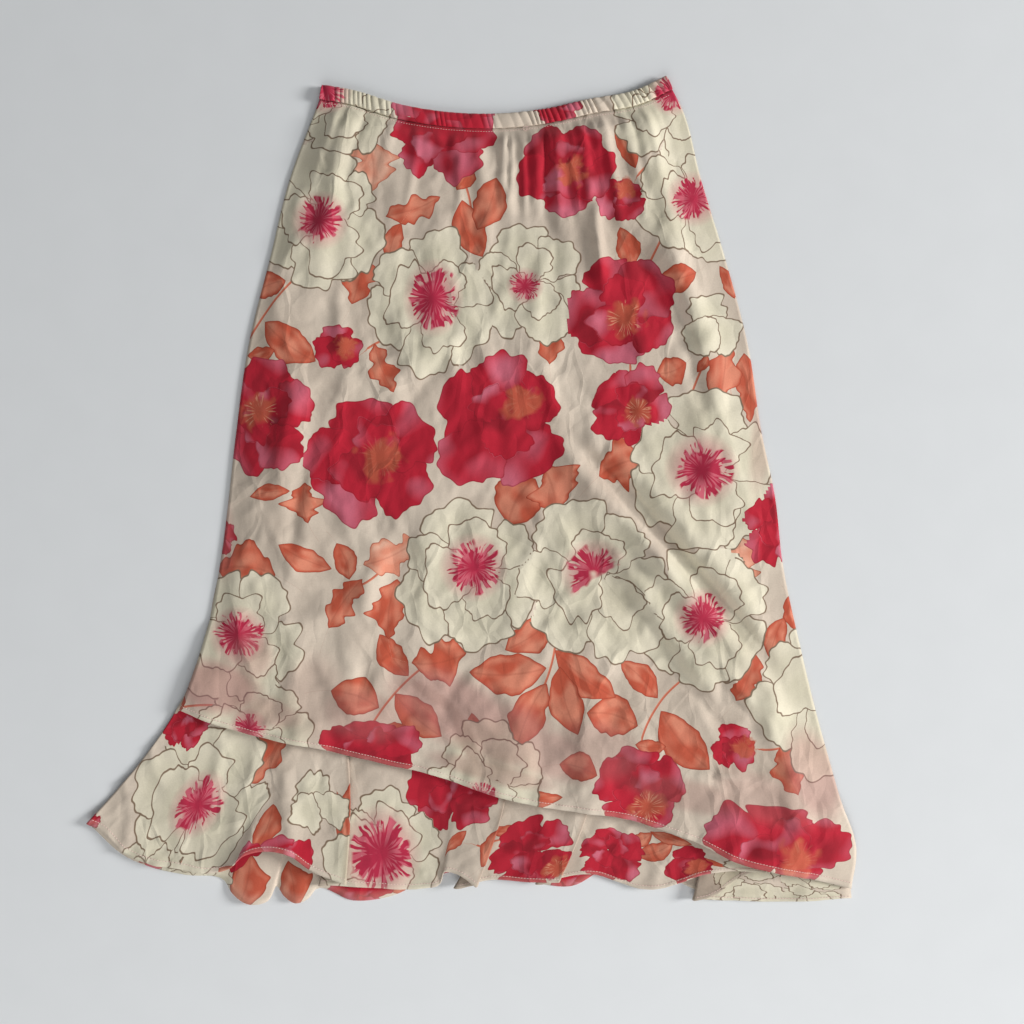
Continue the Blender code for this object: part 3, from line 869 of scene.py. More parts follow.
def round_fold(fold: Fold) -> tuple[list[Row], Row, Row]:
    """The columns of one fold.

    Args:
        fold: The fold.

    Returns:
        Its columns, and its two ends as the columns beside it see them.
    """
    path = [(share, 0.0, 0.0) for share in np.linspace(0, 1, STEPS_IN_BEND + 1)]
    path += [(1.0, share, 0.0) for share in np.linspace(0, 1, STEPS_BACK + 1)[1:]]
    path += [(1.0, 1.0, share) for share in np.linspace(0, 1, STEPS_IN_BEND + 1)[1:]]

    def row(
        done: float,
        state: tuple[float, float, float],
        share: float,
        side: float = 1.0,
        inside: float = 1.0,
    ) -> Row:
        """A column at a share of the fold, seen from one of its sides."""
        return Row(
            line=fold.line_from + (fold.line_to - fold.line_from) * done,
            x=fold.x,
            y=fold.y - fold.spread * float(smooth_step(0, 1, np.float64(share))),
            fold=fold.height * (side > 0),
            lift=fold.lift * (1 - done),
            bow=fold.bow * (1 - done) + BOW_AFTER_FOLD * done,
            depth=side * fold.depth,
            height=side * fold.height,
            round=state[0],
            back=state[1],
            out=state[2],
            inside=inside,
        )

    last = len(path) - 1
    rows = [row(n / last, state, state[1]) for n, state in enumerate(path)]
    start = row(0.0, (0.0, 0.0, 0.0), 0.0, 1.0, 0.0)
    end = row(1.0, (0.0, 0.0, 0.0), 1.0, -1.0, 0.0)
    return rows, start, end


def between_folds(ribs: Sequence[Rib], before: Row | None, after: Row | None) -> np.ndarray:
    """The columns from one fold or edge to the next, on a smooth curve through the ribs.

    Args:
        ribs: The ribs between the two.
        before: The end of the fold to the left, if there is one.
        after: The start of the fold to the right, if there is one.

    Returns:
        One row of numbers for each column.
    """
    ends = ([before] if before else []), ([after] if after else [])
    rows = ends[0] + [Row(*rib, 0, 0, 0, 0, 0, 0) for rib in ribs] + ends[1]
    known = np.array(rows, float)
    place = np.column_stack([known[:, 1] + 0.5 * known[:, 6], known[:, 2]])
    knots = chords(place)
    shares = np.linspace(0, len(known) - 1, STEPS_PER_RIB * (len(known) - 1) + 1)
    along = np.interp(shares, np.arange(len(known)), knots)
    made = smooth_curve(known, along, knots)
    made[:, 0] = np.interp(along, knots, known[:, 0])
    first = 1 if before else 0
    return made[first : -1 if after else None]


def flounce_rows(ribs: Sequence[Rib], folds: Sequence[Fold]) -> np.ndarray:
    """All columns of a flounce from left to right.

    Args:
        ribs: Its ribs.
        folds: Its folds.

    Returns:
        One row of numbers for each column.
    """
    rounds = [round_fold(fold) for fold in folds]
    parts, first = [], 0
    for number in range(len(folds) + 1):
        before = rounds[number - 1][2] if number else None
        after = rounds[number][1] if number < len(folds) else None
        last = folds[number].after + 1 if after else len(ribs)
        parts.append(between_folds(ribs[first:last], before, after))
        if after:
            parts.append(np.array(rounds[number][0], float))
        first = last
    return np.concatenate(parts)


def over(points: np.ndarray, below: np.ndarray, clearance: float) -> np.ndarray:
    """Heights at which a cloth lies over some points, coming down from them in a curve.

    Args:
        points: The cloth's places on the plan.
        below: The points that lie under it.
        clearance: How far above them it lies.

    Returns:
        Its height at each place.
    """
    heights = np.zeros(len(points))
    for part in np.array_split(np.arange(len(points)), DRAPE_BATCHES):
        away = ((points[part, None, :2] - below[None, :, :2]) ** 2).sum(axis=2)
        tents = below[None, :, 2] + clearance - DRAPE_CURVE * away
        heights[part] = tents.max(axis=1)
    return heights


def soft_max(a: np.ndarray, b: np.ndarray, blend: float) -> np.ndarray:
    """The larger of two heights, rounded where they meet.

    Args:
        a: The first heights.
        b: The second ones.
        blend: Over how many mm they pass into each other.

    Returns:
        The larger ones.
    """
    share = np.clip(0.5 + 0.5 * (b - a) / blend, 0.0, 1.0)
    return a * (1 - share) + b * share + blend * share * (1 - share)


class Crumple(NamedTuple):
    """Soft unevenness of cloth that was folded up before: its size, height and sharpness."""

    size: float
    height: float
    stretch: float
    turn: float


CRUMPLES = table(
    Crumple,
    (58.0, 2.1, 0.42, 112.0),
    (33.0, -1.3, 0.5, 128.0),
    (19.0, 0.7, 0.6, 60.0),
    (11.0, -0.3, 0.7, 100.0),
)
FLOUNCE_CRUMPLES = table(
    Crumple,
    (36.0, 1.5, 0.5, 85.0),
    (19.0, 0.7, 0.7, 60.0),
    (11.0, 0.25, 0.7, 110.0),
)
LOWEST = -2.4  # mm: no dent of the front is deeper


def crumple(x: np.ndarray, y: np.ndarray, crumples: Sequence[Crumple]) -> np.ndarray:
    """Heights of soft, irregular ridges with rounded crests and flatter faces between.

    Args:
        x: The points' places across, in mm.
        y: The points' places up.
        crumples: The sizes of ridge that are added up.

    Returns:
        The height at each point, in mm.
    """
    found = np.zeros(len(x))
    for number, part in enumerate(crumples):
        turn = math.radians(part.turn)
        along = (x * math.cos(turn) + y * math.sin(turn)) * part.stretch / part.size
        across = (y * math.cos(turn) - x * math.sin(turn)) / part.size
        places = np.column_stack([along, across, np.full(len(x), 7.3 * number)])
        values = np.array([noise.noise(Vector(place)) for place in places])
        found += part.height * (1.0 - 2.0 * np.sqrt(np.abs(values) ** 1.5 + 0.002))
    return found


class Sharp(NamedTuple):
    """Sharp creases left from folding: the size of the faces between them, and their height."""

    size: float
    height: float


SHARP_CREASES = table(
    Sharp,
    (92.0, 1.4),
    (47.0, 0.6),
)
CREASE_HALF = 0.14  # of the faces' size


def sharp_creases(x: np.ndarray, y: np.ndarray) -> np.ndarray:
    """Heights of straight creases that part the cloth into flat faces with many corners.

    Args:
        x: The points' places across, in mm.
        y: The points' places up.

    Returns:
        The height at each point, in mm.
    """
    found = np.zeros(len(x))
    mixing = np.array([[127.1, 269.5], [311.7, 183.3]])
    for part in SHARP_CREASES:
        place = np.column_stack([1.3 * x, 0.8 * y]) / part.size
        place += 0.12 * np.sin(2.3 * place[:, ::-1] + (0.4, 1.7))
        cell = np.floor(place)
        middles = []
        for step in np.ndindex(5, 5):
            own = cell + step - (2, 2)
            middles.append(own + np.sin(own @ mixing) * SCATTERED % 1.0 - place)
        middles = np.stack(middles)
        first = (middles**2).sum(axis=-1).argmin(axis=0)
        nearest = np.take_along_axis(middles, first[None, :, None], axis=0)
        way = middles - nearest
        length = np.linalg.norm(way, axis=-1)
        edge = ((middles + nearest) / 2 * way).sum(axis=-1) / np.maximum(length, 1e-9)
        edge = np.where(length < 1e-6, 9.0, edge).min(axis=0)
        patch = 0.5 + 0.5 * np.sin(1.9 * place[:, 0] + 2.0) * np.sin(1.4 * place[:, 1] + 0.6)
        ridge = np.clip(1 - edge / CREASE_HALF, 0.0, 1.0)
        found += part.height * ridge * smooth_step(0.3, 0.62, patch)
    return found


def scatter(seed: float, number: int) -> float:
    """A share from 0 to 1 that looks random, and is the same in each run.

    Args:
        seed: Which series it is from.
        number: Which one of the series it is.

    Returns:
        The share.
    """
    return math.sin(seed * 12.9898 + number * 78.233) * SCATTERED % 1.0


def linear(colour: str) -> Colour:
    """A colour as the shader takes it.

    Args:
        colour: The colour as six hex digits, sRGB.

    Returns:
        Its linear parts, and full opacity.
    """
    parts = [int(colour[i : i + 2], 16) / 255 for i in (0, 2, 4)]
    red, green, blue = (p / 12.92 if p <= 0.04045 else ((p + 0.055) / 1.055) ** 2.4 for p in parts)
    return red, green, blue, 1.0


class Graph:
    """The nodes of one material, each kept under a name."""

    def __init__(self, name: str) -> None:
        """Starts the material, with its shader and the place on the piece."""
        self.material = bpy.data.materials.new(name)
        self.material.use_nodes = True
        self.tree = self.material.node_tree
        self.made: dict[str, bpy.types.Node] = {"shader": self.tree.nodes["Principled BSDF"]}
        self.add("place", "TexCoord")

    def result(self, name: str) -> bpy.types.NodeSocket:
        """A node's output, by the node's name and, after a dot, the output's.

        Args:
            name: Such as "place.Object", or "edge" for the first output.

        Returns:
            The output.
        """
        node, _, output = name.partition(".")
        outputs = self.made[node].outputs
        if not output:
            return outputs[0]
        return outputs[int(output)] if output.isdigit() else outputs[output]

    def add(self, name: str, kind: str, inputs: dict | Sequence = (), **settings: object) -> str:
        """Adds one node with its settings and links.

        Args:
            name: What it is called in this material.
            kind: Its kind, without the words that all shader nodes start with, and after a
                space its operation, if it has one.
            inputs: Numbers, or names of other nodes to link, by order or by socket.
            **settings: Its own settings.

        Returns:
            The name.
        """
        kind, _, operation = kind.partition(" ")
        node = self.tree.nodes.new("ShaderNode" + kind)
        if operation:
            node.operation = operation
        for key, value in settings.items():
            setattr(node, key, value)
        pairs = inputs.items() if isinstance(inputs, dict) else enumerate(inputs)
        for key, value in pairs:
            if isinstance(value, str):
                self.tree.links.new(self.result(value), node.inputs[key])
            else:
                node.inputs[key].default_value = value
        self.made[name] = node
        return name

    def paint(self, under: object, *coats: tuple[str, str, object]) -> str:
        """Lays coats of colour over each other.

        Args:
            under: The colour beneath, or the name of the result that holds it.
            *coats: Each coat's name, its share, and its colour or result.

        Returns:
            The last coat's result.
        """
        for name, share, colour in coats:
            self.add(name, "Mix", {0: share, 6: under, 7: colour}, data_type="RGBA")
            under = name + ".2"
        return under

    def finish(self, colour: str, normal: str, numbers: dict[str, float]) -> bpy.types.Material:
        """Links the last nodes to the shader, and sets its own numbers.

        Args:
            colour: The result for its colour.
            normal: The result for its normal.
            numbers: The values of its other sockets.

        Returns:
            The finished material.
        """
        inputs = self.made["shader"].inputs
        self.tree.links.new(self.result(colour), inputs["Base Color"])
        self.tree.links.new(self.result(normal), inputs["Normal"])
        for socket, value in numbers.items():
            inputs[socket].default_value = value
        return self.material


@dataclass(frozen=True)
class PrintedChiffon:
    """Sheer polyester crepe chiffon, screen printed and matt. The eye sees a pale warm
    ground with a fine crepe grain, flat cream petals with thin drawn outlines, and crimson
    and rust washes that run softly within hard edges."""

    ground: Colour = linear("D5C6B4")
    ground_shade: Colour = linear("C4B4A3")
    cream: Colour = linear("D1C9B1")
    cream_light: Colour = linear("DDD4BE")
    outline: Colour = linear("705640")
    crimson: Colour = linear("B4182E")
    crimson_deep: Colour = linear("8E0F21")
    rose: Colour = linear("C9697B")
    rust: Colour = linear("B74C33")
    rust_light: Colour = linear("D5856A")
    rust_pale: Colour = linear("E2AE95")
    rust_line: Colour = linear("8A3C28")
    spray: Colour = linear("AE2441")
    spray_light: Colour = linear("D77A86")
    halo: Colour = linear("CC8E8C")
    heart: Colour = linear("B9553D")
    stamen: Colour = linear("D48E72")
    pink_veil: Colour = linear("D2A6A4")
    # painted shade, for folds and shadowed patches
    painted_shade_veil: Colour = linear("B1A49C")
    doubled: Colour = linear("DED6C2")
    roughness: float = 0.82
    sheen: float = 0.15
    grain: float = 1.3  # mm: crepe threads are about 0.2 mm apart, and drawn coarser to show
    line: float = 1.3  # mm: a drawn outline
    creases: float = 29.0  # fine sharp creases to a metre
    crease: float = 0.5  # mm: their height

    def shape_layer(self, g: Graph, k: str, attribute: str, leaf: bool) -> None:
        """The nodes that read one layer's own coordinates and find its shape.

        Args:
            g: The material's nodes.
            k: The layer's name, before the names of its nodes.
            attribute: The attribute with the coordinates.
            leaf: Whether its shapes are leaves, and otherwise petals.
        """
        g.add(k, "Attribute", attribute_name=attribute)
        g.add(k + "at", "SeparateXYZ", [k + ".Vector"])
        g.add(k + "seed", "Math FLOOR", [k + "at.Z"])
        g.add(k + "part", "Math FRACT", [k + "at.Z"])
        g.add(k + "size", "Math MULTIPLY", [k + "part", CODED_SIZE])
        g.add(k + "x", "Math DIVIDE", [k + "at.X", k + "size"])
        g.add(k + "y", "Math DIVIDE", [k + "at.Y", k + "size"])
        if leaf:
            g.add(k + "yy", "Math MULTIPLY", [k + "y", k + "y"])
            g.add(k + "lean", "Math MULTIPLY_ADD", [k + "yy", 0.22, k + "x"])
            g.add(k + "wide", "Math SUBTRACT", [1.0, k + "yy"], use_clamp=True)
            g.add(k + "taper", "Math POWER", [k + "wide", 0.95])
            g.add(k + "side", "Math SIGN", [k + "lean"])
            g.add(k + "round", "CombineXYZ", [k + "y", k + "side", 0.0])
            g.add(k + "off", "Math ABSOLUTE", [k + "lean"])
            g.add(k + "lobed", "Math GREATER_THAN", [k + "seed", CODED_LOBED - 0.5])
            g.add(k + "much", "Math MULTIPLY_ADD", [k + "lobed", 2.6, 0.8])
            wave = {"Vector": k + "round", "W": k + "seed", "Scale": 2.1, "Detail": 1.2}
            g.add(k + "wave", "TexNoise", wave, noise_dimensions="4D")
            g.add(k + "ease", "Math SUBTRACT", [k + "wave", 0.5])
            g.add(k + "bulge", "Math MULTIPLY_ADD", [k + "ease", k + "much", 1.0])
            g.add(k + "edge", "Math MULTIPLY", [k + "taper", k + "bulge"])
            g.add(k + "gap", "Math SUBTRACT", [k + "off", k + "edge"])
            g.add(k + "mid", "CombineXYZ", [k + "lean", k + "y", 0.0])
        else:
            g.add(k + "thin", "Math MULTIPLY_ADD", [k + "y", -0.30, 1.0])
            g.add(k + "lean", "Math MULTIPLY", [k + "x", k + "thin"])
            g.add(k + "mid", "CombineXYZ", [k + "lean", k + "y", 0.0])
            g.add(k + "far", "VectorMath LENGTH", [k + "mid"])
            g.add(k + "round", "VectorMath NORMALIZE", [k + "mid"])
            wave = {"Vector": k + "round", "W": k + "seed", "Scale": 1.9, "Detail": 1.3}
            wave["Roughness"] = 0.4
            g.add(k + "wave", "TexNoise", wave, noise_dimensions="4D")
            g.add(k + "edge", "Math MULTIPLY_ADD", [k + "wave", 0.95, 0.52])
            g.add(k + "gap", "Math SUBTRACT", [k + "far.Value", k + "edge"])
        g.add(k + "mm", "Math MULTIPLY", [k + "gap", k + "size"])
        g.add(k + "fill", "MapRange", [k + "mm", 0.2, -0.2, 0.0, 1.0])
        g.add(k + "way", "SeparateXYZ", [k + "mid"])
        g.add(k + "here", "CombineXYZ", [k + "way.X", k + "way.Y", k + "mm"])

    def topmost(self, g: Graph, name: str, layers: Sequence[str]) -> None:
        """The nodes that keep the uppermost shape of some layers.

        Args:
            g: The material's nodes.
            name: What the result is called: name + "at", "seed" and "fill".
            layers: The layers' names, from the lowest to the uppermost.
        """
        first = layers[0]
        at, seed, fill = first + "here", first + "seed", first + "fill"
        for k in layers[1:]:
            share = {0: k + "fill"}
            mixed = share | {4: at, 5: k + "here"}
            at = g.add(name + k + "a", "Mix", mixed, data_type="VECTOR") + ".1"
            seed = g.add(name + k + "s", "Mix", share | {2: seed, 3: k + "seed"}, data_type="FLOAT")
            fill = g.add(name + k + "f", "Math MAXIMUM", [fill, k + "fill"])
        g.add(name + "at", "SeparateXYZ", [at])
        g.add(name + "vector", "CombineXYZ", [name + "at.X", name + "at.Y", 0.0])
        g.add(name + "seed", "Math ADD", [seed, 0.0])
        g.add(name + "fill", "Math ADD", [fill, 0.0])

    def ground_colour(self, g: Graph) -> str:
        """The cloth between the flowers, uneven as sheer cloth over cloth is."""
        place = {"Vector": "place.Object", "Scale": 14.0, "Detail": 2.0}
        g.add("mottle", "TexNoise", place)
        g.add("mottled", "MapRange", ["mottle", 0.35, 0.68, 0.0, 1.0])
        return g.paint(self.ground, ("plain", "mottled", self.ground_shade))

    def stem_colour(self, g: Graph, under: str) -> str:
        """Stems, drawn as one brush stroke each."""
        g.add("stem", "Attribute", attribute_name="stem")
        g.add("stemat", "SeparateXYZ", ["stem.Vector"])
        g.add("stemoff", "Math ABSOLUTE", ["stemat.X"])
        g.add("stemgap", "Math SUBTRACT", ["stemoff", "stemat.Z"])
        g.add("stemfill", "MapRange", ["stemgap", 0.2, -0.2, 0.0, 1.0])
        g.add("stemtone", "MapRange", ["stemat.X", -1.2, 1.2, 0.0, 1.0])
        tone = g.paint(self.rust_light, ("stemcolour", "stemtone", self.rust))
        return g.paint(under, ("stems", "stemfill", tone))

    def leaf_colour(self, g: Graph, under: str) -> str:
        """Leaves: a rust wash, lighter in patches, with a darker edge and a thin midrib."""
        for k, attribute in (("la", "leaf_a"), ("lb", "leaf_b"), ("lc", "leaf_c")):
            self.shape_layer(g, k, attribute, True)
        self.topmost(g, "leaf", ("la", "lb", "lc"))
        wash = {"Vector": "leafvector", "W": "leafseed", "Scale": 1.1, "Detail": 1.0}
        g.add("leafwash", "TexNoise", wash, noise_dimensions="4D")
        g.add("leafwet", "MapRange", ["leafwash", 0.40, 0.60, 0.1, 1.0])
        g.add("leafcore", "MapRange", ["leafat.Z", -1.0, -6.5, 0.0, 0.95])
        g.add("leaflight", "Math MULTIPLY", ["leafwet", "leafcore"])
        g.add("leafpart", "Math MODULO", ["leafseed", CODED_LOBED])
        g.add("leafpale", "Math GREATER_THAN", ["leafpart", CODED_PALE - 0.5])
        body = g.paint(self.rust, ("leafbody", "leafpale", self.rust_light))
        light = g.paint(self.rust_light, ("leaflit", "leafpale", self.rust_pale))
        g.add("leafx", "Math ABSOLUTE", ["leafat.X"])
        g.add("leafrib", "MapRange", ["leafx", 0.02, 0.08, 0.22, 0.0])
        g.add("leafrim", "MapRange", ["leafat.Z", -1.9, -0.9, 0.0, 0.6])
        tone = g.paint(
            body,
            ("leaftone", "leaflight", light),
            ("leafveined", "leafrib", self.rust_line),
            ("leafrimmed", "leafrim", self.rust_line),
        )
        return g.paint(under, ("leaves", "leaffill", tone))

    def petal_colour(self, g: Graph, under: str) -> str:
        """Petals: flat cream ones with drawn outlines, and crimson ones with rose washes."""
        layers = [f"p{k}" for k in range(4)]
        for number, k in enumerate(layers):
            self.shape_layer(g, k, f"petal_{number}", False)
        self.topmost(g, "petal", layers)
        g.add("petalred", "Math GREATER_THAN", ["petalseed", CODED_RED - 0.5])
        g.add("petalfar", "VectorMath LENGTH", ["petalvector"])
        g.add("creamlight", "MapRange", ["petalfar.Value", 0.35, 1.0, 0.0, 0.8])
        drawn = -self.line
        g.add("creamline", "MapRange", ["petalat.Z", drawn - 0.2, drawn + 0.2, 0.0, 0.9])
        cream = g.paint(
            self.cream,
            ("creambody", "creamlight", self.cream_light),
            ("creamdrawn", "creamline", self.outline),
        )
        wash = {"Vector": "petalvector", "W": "petalseed", "Scale": 0.75, "Detail": 0.6}
        g.add("wash", "TexNoise", wash, noise_dimensions="4D")
        g.add("washes", "SeparateColor", ["wash.Color"])
        g.add("outward", "Math MULTIPLY_ADD", ["petalat.Y", 0.10, "washes.Red"])
        g.add("rosy", "MapRange", ["outward", 0.55, 0.74, 0.0, 0.9])
        g.add("inward", "Math MULTIPLY_ADD", ["petalat.Y", -0.14, "washes.Green"])
        g.add("deep", "MapRange", ["inward", 0.50, 0.66, 0.0, 0.85])
        g.add("redline", "MapRange", ["petalat.Z", -1.2, -0.6, 0.0, 0.55])
        red = g.paint(
            self.crimson,
            ("reddeep", "deep", self.crimson_deep),
            ("redrose", "rosy", self.rose),
            ("reddrawn", "redline", self.crimson_deep),
        )
        tone = g.paint(cream, ("petaltone", "petalred", red))
        return g.paint(under, ("petals", "petalfill", tone))

    def centre_colour(self, g: Graph, under: str) -> str:
        """Centres: crimson sprays of strokes on cream blooms, rust hearts on red ones."""
        g.add("centre", "Attribute", attribute_name="centre")
        g.add("cat", "SeparateXYZ", ["centre.Vector"])
        g.add("ckind", "Math FLOOR", ["cat.Z"])
        g.add("cpart", "Math FRACT", ["cat.Z"])
        g.add("cseed", "Math MULTIPLY", ["cpart", 40.0])
        g.add("cflat", "CombineXYZ", ["cat.X", "cat.Y", 0.0])
        g.add("cfar", "VectorMath LENGTH", ["cflat"])
        g.add("cround", "VectorMath NORMALIZE", ["cflat"])
        bend = {"Vector": "cflat", "W": "cseed", "Scale": 1.6, "Detail": 1.0}
        g.add("bend", "TexNoise", bend, noise_dimensions="4D")
        g.add("bent", "VectorMath SUBTRACT", ["bend.Color", (0.5, 0.5, 0.5)])
        g.add("lean", "VectorMath SCALE", {0: "bent", "Scale": 0.35})
        g.add("curved", "VectorMath ADD", ["cround", "lean"])
        rays = {"Vector": "curved", "W": "cseed", "Scale": 8.5, "Detail": 0.0}
        g.add("rays", "TexNoise", rays, noise_dimensions="4D")
        g.add("rayparts", "SeparateColor", ["rays.Color"])
        g.add("ragged", "MapRange", ["bend", 0.3, 0.7, 0.8, 1.25])
        g.add("reached", "MapRange", ["rayparts.Red", 0.44, 0.50, 0.64, 1.0])
        g.add("reach", "Math MULTIPLY", ["reached", "ragged"])
        g.add("past", "Math SUBTRACT", ["cfar.Value", "reach"])
        g.add("stroke", "MapRange", ["past", 0.06, -0.04, 0.0, 1.0])
        g.add("isfan", "Math COMPARE", ["ckind", 5.0, 0.5])
        g.add("fanat", "Math MULTIPLY_ADD", ["bend", 1.4, "cat.Y"])
        g.add("fanside", "MapRange", ["fanat", 0.42, 0.62, 0.0, 1.0])
        g.add("fanned", "Mix", {0: "isfan", 2: 1.0, 3: "fanside"}, data_type="FLOAT")
        g.add("isred", "Math GREATER_THAN", ["ckind", 5.5])
        g.add("iscream", "Math SUBTRACT", [1.0, "isred"])
        g.add("isdrawn", "Math GREATER_THAN", ["ckind", 0.5])
        g.add("creamfan", "Math MULTIPLY", ["iscream", "fanned"])
        g.add("onbloom", "Math MULTIPLY", ["creamfan", "isdrawn"])
        g.add("halofar", "MapRange", ["cfar.Value", 1.45, 0.6, 0.0, 0.95])
        g.add("halo", "Math MULTIPLY", ["halofar", "onbloom"])
        tone = g.paint(under, ("haloed", "halo", self.halo))
        g.add("sprayed", "Math MULTIPLY", ["stroke", "onbloom"])
        g.add("streak", "MapRange", ["rayparts.Green", 0.51, 0.56, 0.0, 0.5])
        g.add("outer", "MapRange", ["cfar.Value", 0.15, 0.5, 0.0, 1.0])
        g.add("streaks", "Math MULTIPLY", ["streak", "outer"])
        spray = g.paint(self.spray, ("spraytone", "streaks", self.spray_light))
        tone = g.paint(tone, ("sprays", "sprayed", spray))
        g.add("blobedge", "MapRange", ["bend", 0.36, 0.64, 0.45, 1.05])
        g.add("blobgap", "Math SUBTRACT", ["cfar.Value", "blobedge"])
        g.add("blob", "MapRange", ["blobgap", 0.25, -0.15, 0.0, 0.9])
        g.add("hearted", "Math MULTIPLY", ["blob", "isred"])
        tone = g.paint(tone, ("hearts", "hearted", self.heart))
        g.add("threaded_most", "Math GREATER_THAN", ["ckind", 6.5])
        g.add("threadmuch", "MapRange", ["threaded_most", 0.0, 1.0, 0.15, 0.75])
        g.add("threadon", "MapRange", ["rayparts.Red", 0.60, 0.63, 0.0, 1.0])
        g.add("thread", "Math MULTIPLY", ["threadon", "threadmuch"])
        g.add("threadend", "MapRange", ["cfar.Value", 0.95, 0.75, 0.0, 1.0])
        g.add("threadin", "MapRange", ["cfar.Value", 0.2, 0.4, 0.0, 1.0])
        g.add("threads", "Math MULTIPLY", ["thread", "threadend"])
        g.add("threadred", "Math MULTIPLY", ["threads", "isred"])
        g.add("threaded", "Math MULTIPLY", ["threadred", "threadin"])
        return g.paint(tone, ("stamens", "threaded", self.stamen))

    def make(self, name: str) -> bpy.types.Material:
        """The finished material.

        Args:
            name: What it is called.

        Returns:
            The material.
        """
        g = Graph(name)
        tone = self.ground_colour(g)
        for layer in (self.stem_colour, self.leaf_colour, self.petal_colour, self.centre_colour):
            tone = layer(g, tone)
        g.add("veil", "Attribute", attribute_name="veil")
        g.add("veils", "SeparateXYZ", ["veil.Vector"])
        pink, grey = self.pink_veil, self.painted_shade_veil
        dyed = {"data_type": "RGBA", "blend_type": "MULTIPLY"}
        g.add("pinked", "Mix", {0: "veils.X", 6: tone, 7: pink}, **dyed)
        g.add("pinkhalf", "Math MULTIPLY", ["veils.X", 0.35])
        tone = g.paint("pinked.2", ("pinkmix", "pinkhalf", pink))
        # Painted shade: the grey tint darkens the cloth in folds and shadowed patches
        g.add("greyed", "Mix", {0: "veils.Y", 6: tone, 7: grey}, **dyed)
        double = g.paint("greyed.2", ("doubled", "veils.Z", self.doubled))
        crepe = {"Vector": "place.Object", "Scale": 1.0 / (self.grain * MM), "Detail": 2.0}
        g.add("crepe", "TexNoise", crepe)
        g.add("long", "VectorMath MULTIPLY", ["place.Object", (1.3, 0.8, 1.0)])
        g.add("facets", "TexVoronoi", {"Vector": "long", "Scale": 17.0})
        g.add("facet", "SeparateColor", ["facets.Color"])
        g.add("layers", "MapRange", ["facet.Red", 0.0, 1.0, 0.94, 1.03])
        g.add("grains", "MapRange", ["crepe", 0.3, 0.7, 0.91, 0.99])
        g.add("crepetone", "Math MULTIPLY", ["grains", "layers"])
        g.add("woven", "VectorMath MULTIPLY", [double, "crepetone"])
        g.add("folded", "TexNoise", {"Vector": "long", "Scale": 24.0, "Detail": 2.4})
        g.add("foldoff", "Math SUBTRACT", ["folded", 0.5])
        g.add("crinkle", "Math ABSOLUTE", ["foldoff"])
        g.add("creased", "Bump", {"Strength": 1.0, "Distance": 2.4 * MM, "Height": "crinkle"})
        g.add("swayed", "VectorMath MULTIPLY_ADD", ["folded.Color", (0.03, 0.03, 0.0), "long"])
        faces = {"Vector": "swayed", "Scale": self.creases}
        g.add("fine", "TexVoronoi", faces, feature="DISTANCE_TO_EDGE")
        g.add("ridge", "MapRange", ["fine", 0.0, 0.14, 1.0, 0.0])
        g.add("patch", "TexNoise", {"Vector": "swayed", "Scale": 9.0, "Detail": 0.0})
        g.add("much", "MapRange", ["patch", 0.42, 0.58, 0.0, 1.0])
        g.add("some", "Math MULTIPLY", ["ridge", "much"])
        deep = self.crease * MM
        fine = {"Strength": 1.0, "Distance": deep, "Height": "some", "Normal": "creased"}
        g.add("finebump", "Bump", fine)
        bump = {"Strength": 0.22, "Distance": 0.25 * MM, "Height": "crepe", "Normal": "finebump"}
        g.add("bump", "Bump", bump)
        numbers = {"Roughness": self.roughness, "Sheen Weight": self.sheen}
        numbers |= {"Sheen Roughness": 0.5, "Specular IOR Level": 0.2}
        return g.finish("woven", "bump", numbers)


@dataclass(frozen=True)
class PlainFinish:
    """A surface with one colour and a soft unevenness: sewing thread of spun polyester, whose
    strands the eye sees as a faint mottling, or the plain sheet below."""

    colour: Colour
    shade: Colour
    roughness: float
    grain: float  # mm

    def make(self, name: str) -> bpy.types.Material:
        """The finished material.

        Args:
            name: What it is called.

        Returns:
            The material.
        """
        g = Graph(name)
        scale = 1.0 / (self.grain * MM)
        g.add("uneven", "TexNoise", {"Vector": "place.Object", "Scale": scale, "Detail": 2.0})
        tone = g.paint(self.colour, ("tone", "uneven", self.shade))
        g.add("bump", "Bump", {"Strength": 0.2, "Distance": 0.1 * MM, "Height": "uneven"})
        return g.finish(tone, "bump", {"Roughness": self.roughness})


SHEET_FINISH = PlainFinish(linear("D6D8D9"), linear("DADCDD"), 0.9, 40.0)
THREAD_FINISH = PlainFinish(linear("E6C9C2"), linear("D9B4AC"), 0.6, 0.4)


